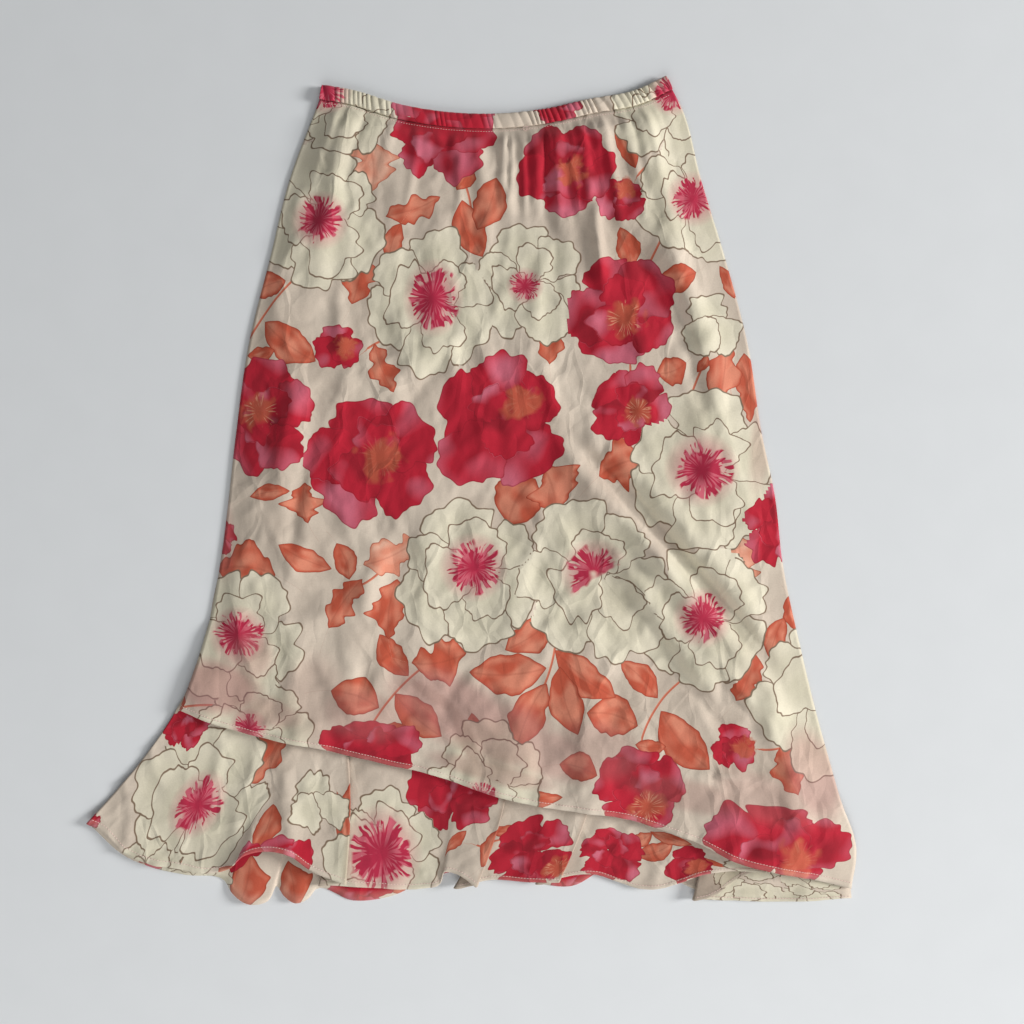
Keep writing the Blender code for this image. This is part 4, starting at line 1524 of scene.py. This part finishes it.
class Chart:
    """A print on one piece: shapes with their own coordinates, in layers."""

    LEAVES = ("leaf_a", "leaf_b", "leaf_c")
    LAYERS = ("stem", *LEAVES, "petal_0", "petal_1", "petal_2", "petal_3", "centre")
    OUTSIDE = (500.0, 500.0, 0.5)
    REACH = 1.7
    NOWHERE = (500.0, 0.0, 1.0)  # far from any stem, and half a stem's width
    LEAF_LONG, LEAF_WIDE = 1.08, 1.15  # the wash runs past a leaf's charted half sizes

    def __init__(self) -> None:
        """Starts empty."""
        self.shapes: dict[str, list[tuple[float, ...]]] = {layer: [] for layer in self.LAYERS}

    def bloom(self, bloom: Bloom, seed: int) -> None:
        """Adds a bloom's petals and its centre.

        Args:
            bloom: The bloom.
            seed: Its number, which makes it unlike the others.
        """
        red = bloom.form in (Form.RED, Form.BUD)
        turn = math.radians(bloom.turn)
        radius = bloom.radius * (RED_SHARE if red else 1.0)
        for number, petal in enumerate(PETALS[bloom.form]):
            vary = 0.86 + 0.28 * scatter(seed, number)
            angle = math.radians(petal.turn + 16 * (scatter(seed, number + 20) - 0.5))
            reach = petal.reach * (0.94 + 0.12 * scatter(seed, number + 40)) * radius
            x, y = reach * math.cos(angle), reach * math.sin(angle) * bloom.aspect
            way = math.atan2(y, x)
            squash = math.hypot(math.cos(way), bloom.aspect * math.sin(way))
            length = petal.length * vary * radius * squash
            wide = petal.width * vary * radius * (1.0 + bloom.aspect - squash)
            px = bloom.x + x * math.cos(turn) - y * math.sin(turn)
            py = bloom.y + x * math.sin(turn) + y * math.cos(turn)
            code = (seed * 9 + number) % CODED_SEEDS + CODED_RED * red + length / CODED_SIZE
            self.shapes[f"petal_{petal.layer}"].append((px, py, way + turn, wide, length, code))
        kind = bloom.centre.value
        if bloom.centre is not Centre.NONE:
            tall = 1.3 if bloom.centre is Centre.OVAL else 1.0
            r = bloom.centre_radius
            code = kind + 0.05 + 0.9 * scatter(seed, 3)
            heading = turn + math.pi / 2 if bloom.centre is not Centre.OVAL else math.pi / 2
            self.shapes["centre"].append(
                (bloom.centre_x, bloom.centre_y, heading, r / tall**0.5, r * tall**0.5, code)
            )

    def leaf(self, leaf: Leaf, seed: int) -> None:
        """Adds a leaf, in the layer where the fewest others are near.

        Args:
            leaf: The leaf.
            seed: Its number, which makes it unlike the others.
        """
        code = CODED_PALE + seed % 9 if leaf.pale else seed % 39
        code += CODED_LOBED * leaf.lobed
        half, wide = leaf.half * self.LEAF_LONG, leaf.half * leaf.aspect * self.LEAF_WIDE
        turn = math.radians(leaf.turn)

        def crowd(layer: str) -> int:
            """How many leaves of a layer are in the way."""
            others = self.shapes[layer]
            return sum(math.dist(o[:2], leaf[:2]) < o[4] + leaf.half for o in others)

        layer = min(self.LEAVES, key=crowd)
        self.shapes[layer].append((leaf.x, leaf.y, turn, wide, half, code + half / CODED_SIZE))

    def stem(self, stem: Stem) -> None:
        """Adds a stem."""
        self.shapes["stem"].append((stem.x0, stem.y0, stem.x1, stem.y1, stem.bow))

    def turned(self, place: Callable[[float, float, float], tuple[float, float, float]]) -> Chart:
        """The same print laid out elsewhere.

        Args:
            place: Gives a shape's new x, y and turn from its old ones.

        Returns:
            The new chart.
        """
        made = Chart()
        for layer, shapes in self.shapes.items():
            for shape in shapes:
                if layer == "stem":
                    a = place(shape[0], shape[1], 0.0)
                    b = place(shape[2], shape[3], 0.0)
                    made.shapes[layer].append((*a[:2], *b[:2], *shape[4:]))
                else:
                    made.shapes[layer].append((*place(*shape[:3]), *shape[3:]))
        return made

    def stem_coordinates(self, faces: np.ndarray, corners: np.ndarray) -> np.ndarray:
        """Each corner's way across and along the stem that its face is nearest to.

        Args:
            faces: The faces' middles on the plan.
            corners: Their four corners.

        Returns:
            Three numbers for each corner: across, along, and half the stem's width.
        """
        found = np.tile(np.array(self.NOWHERE), (*corners.shape[:2], 1))
        if not self.shapes["stem"]:
            return found
        stems = np.array(self.shapes["stem"])
        start, way = stems[:, :2], stems[:, 2:4] - stems[:, :2]
        length = np.linalg.norm(way, axis=1)
        unit = way / length[:, None]

        def on_stem(points: np.ndarray, which: np.ndarray | slice) -> tuple[np.ndarray, np.ndarray]:
            """The ways across and along some stems."""
            off = points - start[which]
            along = (off * unit[which]).sum(-1) / length[which]
            side = off[..., 1] * unit[which][..., 0] - off[..., 0] * unit[which][..., 1]
            bowed = stems[which][..., 4] * 4 * along * (1 - along)
            beyond = np.maximum(np.maximum(-along, along - 1), 0) * length[which]
            return np.abs(side - bowed) + beyond, side - bowed

        away, _ = on_stem(faces[:, None, :], slice(None))
        nearest = away.argmin(axis=1)
        close = away[np.arange(len(faces)), nearest] < NEAR_STEM
        which = nearest[close][:, None].repeat(corners.shape[1], axis=1)
        reach, side = on_stem(corners[close], which)
        found[close, :, 0] = np.copysign(reach, side)
        return found

    def coordinates(self, layer: str, faces: np.ndarray, corners: np.ndarray) -> np.ndarray:
        """Each corner's place in the nearest shape of a layer.

        Args:
            layer: The layer.
            faces: The faces' middles on the plan.
            corners: Their corners, a row of four for each face.

        Returns:
            Three numbers for each corner: across, along, and the shape's code.
        """
        if layer == "stem":
            return self.stem_coordinates(faces, corners)
        found = np.tile(np.array(self.OUTSIDE), (*corners.shape[:2], 1))
        if layer == "centre":
            found[..., 2] = 0.0
        shapes = np.array(self.shapes[layer])
        if not len(shapes):
            return found
        cos, sin = np.cos(shapes[:, 2]), np.sin(shapes[:, 2])

        def on_shape(points: np.ndarray, which: np.ndarray | slice) -> np.ndarray:
            """Ways across and along some shapes, in their own half widths and lengths."""
            dx, dy = points[..., 0] - shapes[which][..., 0], points[..., 1] - shapes[which][..., 1]
            along = dx * cos[which] + dy * sin[which]
            across = dx * sin[which] - dy * cos[which]
            return np.stack([across / shapes[which][..., 3], along / shapes[which][..., 4]], -1)

        away = np.linalg.norm(on_shape(faces[:, None, :], slice(None)), axis=-1)
        nearest = away.argmin(axis=1)
        close = away[np.arange(len(faces)), nearest] < self.REACH + 0.4
        which = nearest[close][:, None].repeat(corners.shape[1], axis=1)
        own = on_shape(corners[close], which)
        scale = 1.0 if layer == "centre" else shapes[which][..., 4:5]
        found[close, :, :2] = own * scale
        found[close, :, 2] = shapes[which][..., 5]
        return found


def skirt_chart(
    blooms: Sequence[Bloom], leaves: Sequence[Leaf], stems: Sequence[Stem], first: int
) -> Chart:
    """A chart of some blooms, leaves and stems.

    Args:
        blooms: The blooms.
        leaves: The leaves.
        stems: The stems.
        first: The first bloom's number.

    Returns:
        The chart.
    """
    chart = Chart()
    for number, bloom in enumerate(blooms):
        chart.bloom(bloom, first + number)
    for number, leaf in enumerate(leaves):
        chart.leaf(leaf, first + number)
    for stem in stems:
        chart.stem(stem)
    return chart


def tint_and_painted_shade_at(places: np.ndarray) -> np.ndarray:
    """How pink the print beneath makes the front, and how much shade is painted on it.

    Args:
        places: The points' places.

    Returns:
        Three numbers for each point: pink, painted shade and 0.
    """
    found = np.zeros((len(places), 3))
    for veil in TINTS_AND_PAINTED_SHADE:
        turn = math.radians(veil.turn)
        dx, dy = places[:, 0] - veil.x, places[:, 1] - veil.y
        along = (dx * math.cos(turn) + dy * math.sin(turn)) / veil.across
        across = (dy * math.cos(turn) - dx * math.sin(turn)) / veil.down
        strength = 1 - smooth_step(0.6, 1.25, np.hypot(along, across))
        found[:, 0] = np.maximum(found[:, 0], veil.pink * strength)
        # painted shade
        found[:, 1] = np.maximum(found[:, 1], veil.painted_shade * strength)
    return found


def new_piece(bm: bmesh.types.BMesh, name: str, smooth: bool = True) -> bpy.types.Object:
    """Puts a finished bmesh into the scene.

    Args:
        bm: The bmesh, which is freed.
        name: The piece's name.
        smooth: Whether its faces are shaded as one round surface.

    Returns:
        The piece.
    """
    mesh = bpy.data.meshes.new(name)
    bm.to_mesh(mesh)
    bm.free()
    if smooth:
        mesh.shade_smooth()
    piece = bpy.data.objects.new(name, mesh)
    bpy.context.scene.collection.objects.link(piece)
    return piece


@dataclass(kw_only=True)
class Cloth:
    """A piece of thin cloth on the middle surface of its solid."""

    node: str
    steps: tuple[int, int]
    flat: tuple[float, float]  # m
    area: float  # m2
    rests_on: tuple[str, ...] = ()
    slot: str = "printed_chiffon"
    held: str = "laid"
    wall: float = CHIFFON
    hem: float = 0.0  # share down from which the cloth is turned

    def places(self, u: np.ndarray, v: np.ndarray) -> np.ndarray:
        """The cloth's points, in mm, at shares across and down."""
        raise NotImplementedError

    def in_print(self, u: np.ndarray, v: np.ndarray, points: np.ndarray) -> np.ndarray:
        """Each point's place in the print, in mm."""
        return points[:, :2]

    def veil(self, u: np.ndarray, v: np.ndarray, points: np.ndarray) -> np.ndarray:
        """How pink, how much painted shade and how doubled the cloth looks at each point."""
        return np.zeros_like(points)

    def shape(self, name: str) -> tuple[bpy.types.Object, np.ndarray, np.ndarray, np.ndarray]:
        """The cloth's grid, moved onto its surface.

        Args:
            name: The piece's name.

        Returns:
            The piece, the shares across and down, and the points.
        """
        bm = bmesh.new()
        across, down = self.steps
        bmesh.ops.create_grid(bm, x_segments=across, y_segments=down, size=0.5)
        plan = np.array([v.co for v in bm.verts])
        u, v = plan[:, 0] + 0.5, 0.5 - plan[:, 1]
        points = self.places(u, v)
        for vert, point in zip(bm.verts, points):
            vert.co = point * MM
        bmesh.ops.recalc_face_normals(bm, faces=bm.faces)
        if sum(face.normal.z for face in bm.faces) < 0:
            bmesh.ops.reverse_faces(bm, faces=bm.faces)
        return new_piece(bm, name), u, v, points

    def dress(self, mesh: bpy.types.Mesh, plan: np.ndarray, chart: Chart, veil: np.ndarray) -> None:
        """Puts the print's coordinates on the cloth.

        Args:
            mesh: The cloth's mesh.
            plan: Each point's place in the print, in mm.
            chart: The print.
            veil: What tints each point: pink from beneath, painted shade, and a paler hem.
        """
        corner = np.zeros(len(mesh.loops), int)
        mesh.loops.foreach_get("vertex_index", corner)
        corners = plan[corner].reshape(-1, 4, 2)
        faces = corners.mean(axis=1)
        drawn = [(k, "CORNER", chart.coordinates(k, faces, corners)) for k in Chart.LAYERS]
        for name, domain, values in (*drawn, ("veil", "POINT", veil)):
            made = mesh.attributes.new(name, "FLOAT_VECTOR", domain)
            made.data.foreach_set("vector", values.astype(np.float32).ravel())

    def thicken(self, piece: bpy.types.Object, v: np.ndarray) -> None:
        """Gives the cloth its thickness, and more of it where its hem is turned.

        Args:
            piece: The cloth.
            v: Shares down its points.
        """
        shell = piece.modifiers.new("thickness", "SOLIDIFY")
        shell.offset = 0.0
        shell.thickness = self.wall * MM
        if self.hem:
            turned = piece.vertex_groups.new(name="turned_hem")
            turned.add([int(i) for i in np.flatnonzero(v > self.hem)], 1.0, "REPLACE")
            shell.thickness = TURNED * MM
            shell.vertex_group = turned.name
            shell.thickness_vertex_group = self.wall / TURNED

    def build(self, chart: Chart, finish: bpy.types.Material) -> None:
        """Makes the cloth and ties it to the frame.

        Args:
            chart: Its print.
            finish: Its material.
        """
        piece, u, v, points = self.shape(self.node + "_cloth")
        self.dress(piece.data, self.in_print(u, v, points), chart, self.veil(u, v, points))
        self.thicken(piece, v)
        piece.data.materials.append(finish)
        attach(piece, "root")
        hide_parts(self.node)
        LOG.info("%s: %d faces", piece.name, len(piece.data.polygons))


@dataclass(kw_only=True)
class FrontPanel(Cloth):
    """The front's upper layer, gathered at the waist and hemmed on a slant."""

    below: np.ndarray  # the points of the flounce that it lies over
    node: str = "front_panel"
    steps: tuple[int, int] = PANEL_STEPS
    flat: tuple[float, float] = (0.61, 0.72)
    area: float = 0.30
    rests_on: tuple[str, ...] = ("back_panel_cloth", "front_flounce_cloth")
    hem: float = 1 - 0.9 * HEM_SHARE

    def gathers(self, u: np.ndarray, v: np.ndarray) -> np.ndarray:
        """How much the gathers raise the cloth below the waist.

        Args:
            u: Shares across.
            v: Shares down.

        Returns:
            The heights, in mm.
        """
        found = np.zeros(len(u))
        for wave in RIPPLES:
            phase = 2 * np.pi * wave.count * u + wave.ahead * np.sin(wave.often * u)
            found += wave.depth * np.exp(-v * PANEL_LENGTH / wave.fade) * (1 + np.cos(phase))
        return found * np.interp(u, *zip(*GATHER_STRENGTH))

    def places(self, u: np.ndarray, v: np.ndarray) -> np.ndarray:
        """The cloth's points.

        Args:
            u: Shares across.
            v: Shares down.

        Returns:
            The points, in mm.
        """
        top = beside(WAIST_LINE, SEAM_OVERLAP)
        left = (top[0], *LEFT_SIDE[1:])
        right = (top[-1], *RIGHT_SIDE[1:])
        xy = between_sides(top, PANEL_HEM, left, right, u, v)
        x, y = xy[:, 0], xy[:, 1]
        width = WAIST_WIDTH + (HEM_WIDTH - WAIST_WIDTH) * v
        inside = smooth_step(0.0, SIDE_SLOPES[0], u * width)
        inside = inside * smooth_step(0.0, SIDE_SLOPES[1], (1 - u) * width)
        inside = inside * smooth_step(-2.0, SEAM_SLOPE, v * PANEL_LENGTH)
        raised = sum(crease_height(crease, x, y) for crease in PANEL_CREASES)
        free = FRONT_LEVEL + inside * (PANEL_AIR + np.maximum(raised, -PANEL_AIR))
        clearance = WALL + 5 * GAP + HEM_EXTRA
        laid = soft_max(free, over(xy, self.below, clearance), DRAPE_BLEND)
        small = SHARPER * sum(crease_height(crease, x, y) for crease in SMALL_CREASES)
        small = np.maximum(small + crumple(x, y, CRUMPLES), LOWEST) - LOWEST
        small = small + sharp_creases(x, y)
        seam = SEAM_RISE * np.exp(-v * PANEL_LENGTH / SEAM_SLOPE)
        z = laid + inside * (small + self.gathers(u, v)) + seam
        return np.column_stack([xy, z])

    def veil(self, u: np.ndarray, v: np.ndarray, points: np.ndarray) -> np.ndarray:
        """What shines through the front, the shade painted on it, and its paler turned hem.

        Args:
            u: Not used.
            v: Shares down.
            points: The points, in mm.

        Returns:
            How pink, how much painted shade and how doubled each point looks.
        """
        found = tint_and_painted_shade_at(points)
        found[:, 2] = HEM_TINT * (v > self.hem)
        return found


@dataclass(kw_only=True)
class BackPanel(Cloth):
    """The back's upper layer, flat on the surface."""

    node: str = "back_panel"
    steps: tuple[int, int] = BACK_STEPS
    flat: tuple[float, float] = (0.57, 0.66)
    area: float = 0.26

    def places(self, u: np.ndarray, v: np.ndarray) -> np.ndarray:
        """The cloth's points.

        Args:
            u: Shares across.
            v: Shares down.

        Returns:
            The points, in mm.
        """
        top = beside(WAIST_LINE, SEAM_OVERLAP)
        line = beside(FLOUNCE_LINE, -SEAM_OVERLAP)
        sides = [
            [top[k], *(p for p in side[1:] if p.y > line[k][1] + SIDE_MARGIN), line[k]]
            for k, side in ((0, LEFT_SIDE), (-1, RIGHT_SIDE))
        ]
        xy = between_sides(top, line, *sides, u, v)
        return np.column_stack([xy, np.full(len(u), BACK_LEVEL)])


@dataclass(kw_only=True)
class Flounce(Cloth):
    """A flared strip sewn under a panel's edge, with waves and folds at its hem."""

    rows: np.ndarray  # its columns, as flounce_rows gives them
    level: float  # mm, of its middle
    crumples: tuple[Crumple, ...] = ()
    hem: float = FLOUNCE_HEM

    def column(self, u: np.ndarray) -> np.ndarray:
        """The number of the column at each share across."""
        return np.rint(u * (len(self.rows) - 1)).astype(int)

    def places(self, u: np.ndarray, v: np.ndarray) -> np.ndarray:
        """The cloth's points.

        Args:
            u: Shares across its columns.
            v: Shares down from its sewn line.

        Returns:
            The points, in mm.
        """
        row = Row(*self.rows[self.column(u)].T)
        start = smooth_curve(beside(FLOUNCE_LINE, SEAM_OVERLAP), row.line)
        across, down = fold_offset(row, v)
        x = (1 - v) * start[:, 0] + v * row.x + row.bow * np.sin(np.pi * v) + across
        y = (1 - v) * start[:, 1] + v * row.y
        fold, lift = np.maximum(row.fold, 0), np.maximum(row.lift, 0)
        z = self.level + fold * v**FOLD_RISE + lift * v**LIFT_RISE - down
        if self.crumples:
            uneven = np.maximum(crumple(x, y, self.crumples), 0.0) + sharp_creases(x, y)
            z = z + uneven * smooth_step(0.0, 0.2, v)
        return np.column_stack([x, y, z])

    def grid(self, down: int) -> tuple[np.ndarray, np.ndarray]:
        """The points by column and row, and their places in the flat cut.

        Args:
            down: How many rows.

        Returns:
            The points and the places, each with a column of the flounce in its first axis.
        """
        columns = len(self.rows)
        u, v = np.meshgrid(np.linspace(0, 1, columns), np.linspace(0, 1, down), indexing="ij")
        points = self.places(u.ravel(), v.ravel()).reshape(columns, down, 3)
        steps = np.linalg.norm(np.diff(points, axis=0), axis=2)
        seam, hem = steps[:, 0], steps[:, -1]
        deep = np.linalg.norm(np.diff(points, axis=1), axis=2).sum(axis=1).mean()
        turn = np.concatenate([[0.0], np.cumsum((hem - seam) / deep)])
        turn -= turn[len(turn) // 2]
        middle = (turn[1:] + turn[:-1]) / 2
        x = np.concatenate([[0.0], np.cumsum(seam * np.cos(middle))])
        y = np.concatenate([[0.0], np.cumsum(seam * np.sin(middle))])
        depth = np.linspace(0, 1, down)[None, :] * deep
        across = x[:, None] + depth * np.sin(turn)[:, None]
        along = y[:, None] - depth * np.cos(turn)[:, None]
        return points, np.stack([across, along], axis=-1)

    def lay_out(self, chart: Chart) -> Chart:
        """A chart drawn as the flounce lies, moved to its flat cut.

        Args:
            chart: The print as it shows from above.

        Returns:
            The same print on the flat cut.
        """
        points, flat = self.grid(LAY_OUT_ROWS)
        along = np.gradient(points, axis=0)
        cut = np.gradient(flat, axis=0)

        def place(x: float, y: float, turn: float) -> tuple[float, float, float]:
            """Where the uppermost cloth at a place is in the cut, and how it is turned."""
            away = np.hypot(points[..., 0] - x, points[..., 1] - y)
            height = np.where(away < away.min() + SAME_PLACE, points[..., 2], -1.0)
            at = np.unravel_index(height.argmax(), height.shape)
            way = math.atan2(along[at][1], along[at][0])
            own = math.atan2(cut[at][1], cut[at][0])
            shift = own - way
            dx, dy = x - points[at][0], y - points[at][1]
            fx = flat[at][0] + dx * math.cos(shift) - dy * math.sin(shift)
            fy = flat[at][1] + dx * math.sin(shift) + dy * math.cos(shift)
            return fx, fy, turn + shift

        return chart.turned(place)

    def in_print(self, u: np.ndarray, v: np.ndarray, points: np.ndarray) -> np.ndarray:
        """Each point's place in the print, which is drawn on the flat cut.

        Args:
            u: Shares across.
            v: Shares down.
            points: Not used.

        Returns:
            The places, in mm.
        """
        _, flat = self.grid(self.steps[1] + 1)
        return flat[self.column(u), np.rint(v * self.steps[1]).astype(int)]

    def veil(self, u: np.ndarray, v: np.ndarray, points: np.ndarray) -> np.ndarray:
        """Painted shade in the folds, where three layers lie, and the paler turned hem.

        Args:
            u: Shares across.
            v: Shares down.
            points: The points, in mm.

        Returns:
            How pink, how much painted shade and how doubled each point looks.
        """
        found = np.zeros_like(points)
        # painted shade over the folds' hidden cloth and bends
        found[:, 1] = FOLD_PAINTED_SHADE * self.rows[self.column(u)][:, -1]
        found[:, 2] = HEM_TINT * (v > self.hem)
        return found


@dataclass(kw_only=True)
class Casing(Cloth):
    """One half of the turned casing at the waist, with the elastic inside it."""

    level: float  # mm, of its middle
    depth: float  # mm, of its gathers
    rounded: float  # mm: how much higher it is along its middle
    steps: tuple[int, int] = CASING_STEPS
    slot: str = "casing_chiffon"
    held: str = "gathered"

    def places(self, u: np.ndarray, v: np.ndarray) -> np.ndarray:
        """The casing's points.

        Args:
            u: Shares across.
            v: Shares down from its upper edge.

        Returns:
            The points, in mm.
        """
        up = 1 - v
        low = smooth_curve(beside(WAIST_LINE, 0.0), u)
        high = smooth_curve(beside(WAIST_LINE, CASING_HEIGHT), u)
        xy = (1 - up)[:, None] * low + up[:, None] * high
        phase = 2 * np.pi * GATHERS * (u + GATHER_SLANT * up / WAIST_WIDTH)
        for ahead, often in CASING_UNEVEN:
            phase = phase + ahead * np.sin(often * u + ahead)
        strength = np.interp(u, *zip(*GATHER_STRENGTH))
        strength = strength * (0.75 + 0.35 * np.sin(41 * u + 2 * up))
        wave = 2 * np.sqrt(0.5 + 0.5 * np.cos(phase)) - 1.2
        bulge = self.rounded * np.sqrt(np.maximum(np.sin(np.pi * up), 0))
        return np.column_stack([xy, self.level + self.depth * (1 + wave * strength) + bulge])


@dataclass
class Stitches:
    """A row of lockstitches along a line on the cloth."""

    name: str
    length: float = 2.0  # mm, of one stitch as it shows
    pitch: float = 2.7  # mm, from one stitch to the next
    radius: float = 0.22  # mm
    proud: float = 0.32  # mm, of a stitch's middle over the cloth's

    def build(self, line: np.ndarray, finish: bpy.types.Material) -> None:
        """Makes the row as one piece.

        Args:
            line: Points along it on the cloth's middle surface, in mm.
            finish: Its material.
        """
        steps = np.linalg.norm(np.diff(line, axis=0), axis=1)
        along = np.concatenate([[0.0], np.cumsum(steps)])
        starts = np.arange(self.pitch / 2, along[-1] - self.pitch, self.pitch)
        bm = bmesh.new()
        for start in starts:
            ends = [
                Vector([float(np.interp(s, along, line[:, k])) for k in range(3)])
                for s in (start, start + self.length)
            ]
            way = ends[1] - ends[0]
            middle = (ends[0] + ends[1]) / 2 + Vector((0, 0, self.proud))
            turn = way.to_track_quat("Z", "Y").to_matrix().to_4x4()
            bmesh.ops.create_cone(
                bm,
                cap_ends=True,
                segments=6,
                radius1=self.radius * MM,
                radius2=self.radius * MM,
                depth=way.length * MM,
                matrix=Matrix.Translation(middle * MM) @ turn,
            )
        piece = new_piece(bm, self.name)
        piece.data.materials.append(finish)
        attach(piece, "root")
        LOG.info("%s: %d stitches", self.name, len(starts))


class SoftLight(NamedTuple):
    """A round light: its name, place, size across and power."""

    name: str
    place: tuple[float, float, float]
    size: float
    power: float


@dataclass(frozen=True)
class Studio:
    """A plain pale sheet, soft light from the right, and a camera straight above."""

    camera: tuple[float, float, float] = (0.03645, -0.0198, 0.924)  # m
    angle: float = 53.0  # degrees: the camera's field of view
    floor: float = 6.0  # m
    lights: tuple[SoftLight, ...] = (
        SoftLight("window", (4.6, 0.2, 1.7), 1.5, 292.0),
        SoftLight("wall", (0.1, -2.1, 1.2), 2.0, 30.0),
    )
    sky: Colour = linear("E2E4E6")
    sky_strength: float = 0.36

    def build(self) -> None:
        """Makes the sheet, the lights and the camera."""
        scene = bpy.context.scene
        bm = bmesh.new()
        bmesh.ops.create_grid(bm, x_segments=8, y_segments=8, size=self.floor / 2)
        floor = new_piece(bm, "sheet_below", False)
        floor.data.materials.append(SHEET_FINISH.make("plain_sheet"))
        floor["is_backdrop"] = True

        for light in self.lights:
            lamp = bpy.data.lights.new(light.name, "AREA")
            lamp.shape = "DISK"
            lamp.size = light.size
            lamp.energy = light.power
            holder = bpy.data.objects.new(light.name, lamp)
            holder.location = light.place
            holder.rotation_mode = "QUATERNION"
            holder.rotation_quaternion = (-Vector(light.place)).to_track_quat("-Z", "Y")
            scene.collection.objects.link(holder)

        scene.world = bpy.data.worlds.new("room")
        scene.world.use_nodes = True
        sky = scene.world.node_tree.nodes["Background"]
        sky.inputs["Color"].default_value = self.sky
        sky.inputs["Strength"].default_value = self.sky_strength

        lens = bpy.data.cameras.new("camera")
        lens.angle = math.radians(self.angle)
        scene.camera = bpy.data.objects.new("camera", lens)
        scene.camera.location = self.camera
        scene.collection.objects.link(scene.camera)
        scene.view_settings.view_transform = "Standard"


def mirrored(x: float, y: float, turn: float) -> tuple[float, float, float]:
    """A print's place seen from the other side of the skirt."""
    return BACK_TURNS_AT - x, y, math.pi - turn


def sew(front_panel: FrontPanel, front_flounce: Flounce, thread: bpy.types.Material) -> None:
    """Lays the rows of stitches on the front, and the end of thread that has come loose.

    Args:
        front_panel: The front's upper layer.
        front_flounce: The flounce below it.
        thread: The thread's material.
    """
    shares = np.linspace(0.0, 1.0, LINE_STEPS)
    hem = front_panel.places(shares, np.full(LINE_STEPS, 1 - HEM_STITCHES * HEM_SHARE))
    Stitches("front_hem_stitches").build(hem, thread)
    seam = front_panel.places(shares, np.full(LINE_STEPS, SEAM_STITCHES / PANEL_LENGTH))
    Stitches("casing_stitches", 1.3, 2.4, 0.18, 0.3).build(seam[8:-8], thread)
    start = seam[np.abs(seam[:, 0] - LOOSE_END[0]).argmin()] + (0, 0, 0.4)
    turns = np.linspace(0, 2.4 * np.pi, 40)[:, None]
    loop = start + 1.8 * np.hstack([np.cos(turns) - 1, np.sin(turns), 0.1 * turns])
    tail = loop[-1] + np.linspace(0, 1, 12)[1:, None] * (4.5, -0.8, 0.2)
    Stitches("loose_thread", 0.6, 0.5, 0.16, 0.3).build(np.concatenate([loop, tail]), thread)
    columns = len(front_flounce.rows) - 1
    column = np.unique(np.round(shares * columns) / columns)
    hem = front_flounce.places(column, np.full(len(column), FLOUNCE_HEM))
    Stitches("flounce_hem_stitches").build(hem, thread)


def main() -> None:
    """Builds the skirt piece by piece, and then the studio."""
    logging.basicConfig(level=logging.INFO, format="%(message)s")
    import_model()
    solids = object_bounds()
    chiffon = PrintedChiffon().make("printed_crepe_chiffon")
    thread = THREAD_FINISH.make("spun_polyester_thread")
    front_chart = skirt_chart(BLOOMS, LEAVES, STEMS, 1)
    casing_chart = skirt_chart(BLOOMS + CASING_BLOOMS, LEAVES, STEMS, 1)
    back_chart = front_chart.turned(mirrored)
    flounce_chart = skirt_chart(FLOUNCE_BLOOMS, FLOUNCE_LEAVES, FLOUNCE_STEMS, 50)
    hem_chart = skirt_chart(BACK_FLOUNCE_BLOOMS, BACK_FLOUNCE_LEAVES, (), 70)
    for chart, highest in ((back_chart, -90), (flounce_chart.turned(mirrored), math.inf)):
        for layer, shapes in chart.shapes.items():
            seen = [shape for shape in shapes if HEM_PRINT < shape[1] < highest]
            hem_chart.shapes[layer] += seen

    front_rows = flounce_rows(FRONT_RIBS, FRONT_FOLDS)
    front_flounce = Flounce(
        node="front_flounce",
        steps=(len(front_rows) - 1, FRONT_FLOUNCE_ROWS),
        flat=(0.95, 0.24),
        area=0.105,
        rests_on=("back_panel_cloth", "back_flounce_cloth"),
        rows=front_rows,
        level=FRONT_LEVEL,
        crumples=FLOUNCE_CRUMPLES,
    )
    back_rows = flounce_rows(BACK_RIBS, ())
    back_flounce = Flounce(
        node="back_flounce",
        steps=(len(back_rows) - 1, BACK_FLOUNCE_ROWS),
        flat=(0.72, 0.22),
        area=0.09,
        rows=back_rows,
        level=BACK_LEVEL,
    )
    under, _ = front_flounce.grid(FLOUNCE_ROWS_UNDER)
    front_panel = FrontPanel(below=under[::3].reshape(-1, 3))
    front_casing = Casing(
        node="waist_casing_front",
        flat=(0.40, 0.013),
        area=0.0051,
        rests_on=("waist_casing_back_cloth",),
        wall=1.4,
        level=1.5 * CASING_WALL + GAP,
        depth=1.9 * GATHER_DEPTH,
        rounded=CASING_ROUND,
    )
    back_casing = Casing(
        node="waist_casing_back",
        flat=(0.36, 0.013),
        area=0.0045,
        wall=1.2,
        level=CASING_WALL / 2,
        depth=0.3,
        rounded=0.0,
    )

    BackPanel().build(back_chart, chiffon)
    back_flounce.build(back_flounce.lay_out(hem_chart), chiffon)
    front_flounce.build(front_flounce.lay_out(flounce_chart), chiffon)
    front_panel.build(front_chart, chiffon)
    front_casing.build(casing_chart, chiffon)
    back_casing.build(back_chart, chiffon)
    sew(front_panel, front_flounce, thread)
    Studio().build()

    boxes = {
        "solids": [list(corner) for corner in solids],
        "visual": [list(corner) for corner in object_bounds()],
    }
    for name, box in boxes.items():
        LOG.info("%s: %s", name, box)


if __name__ == "__main__":
    main()
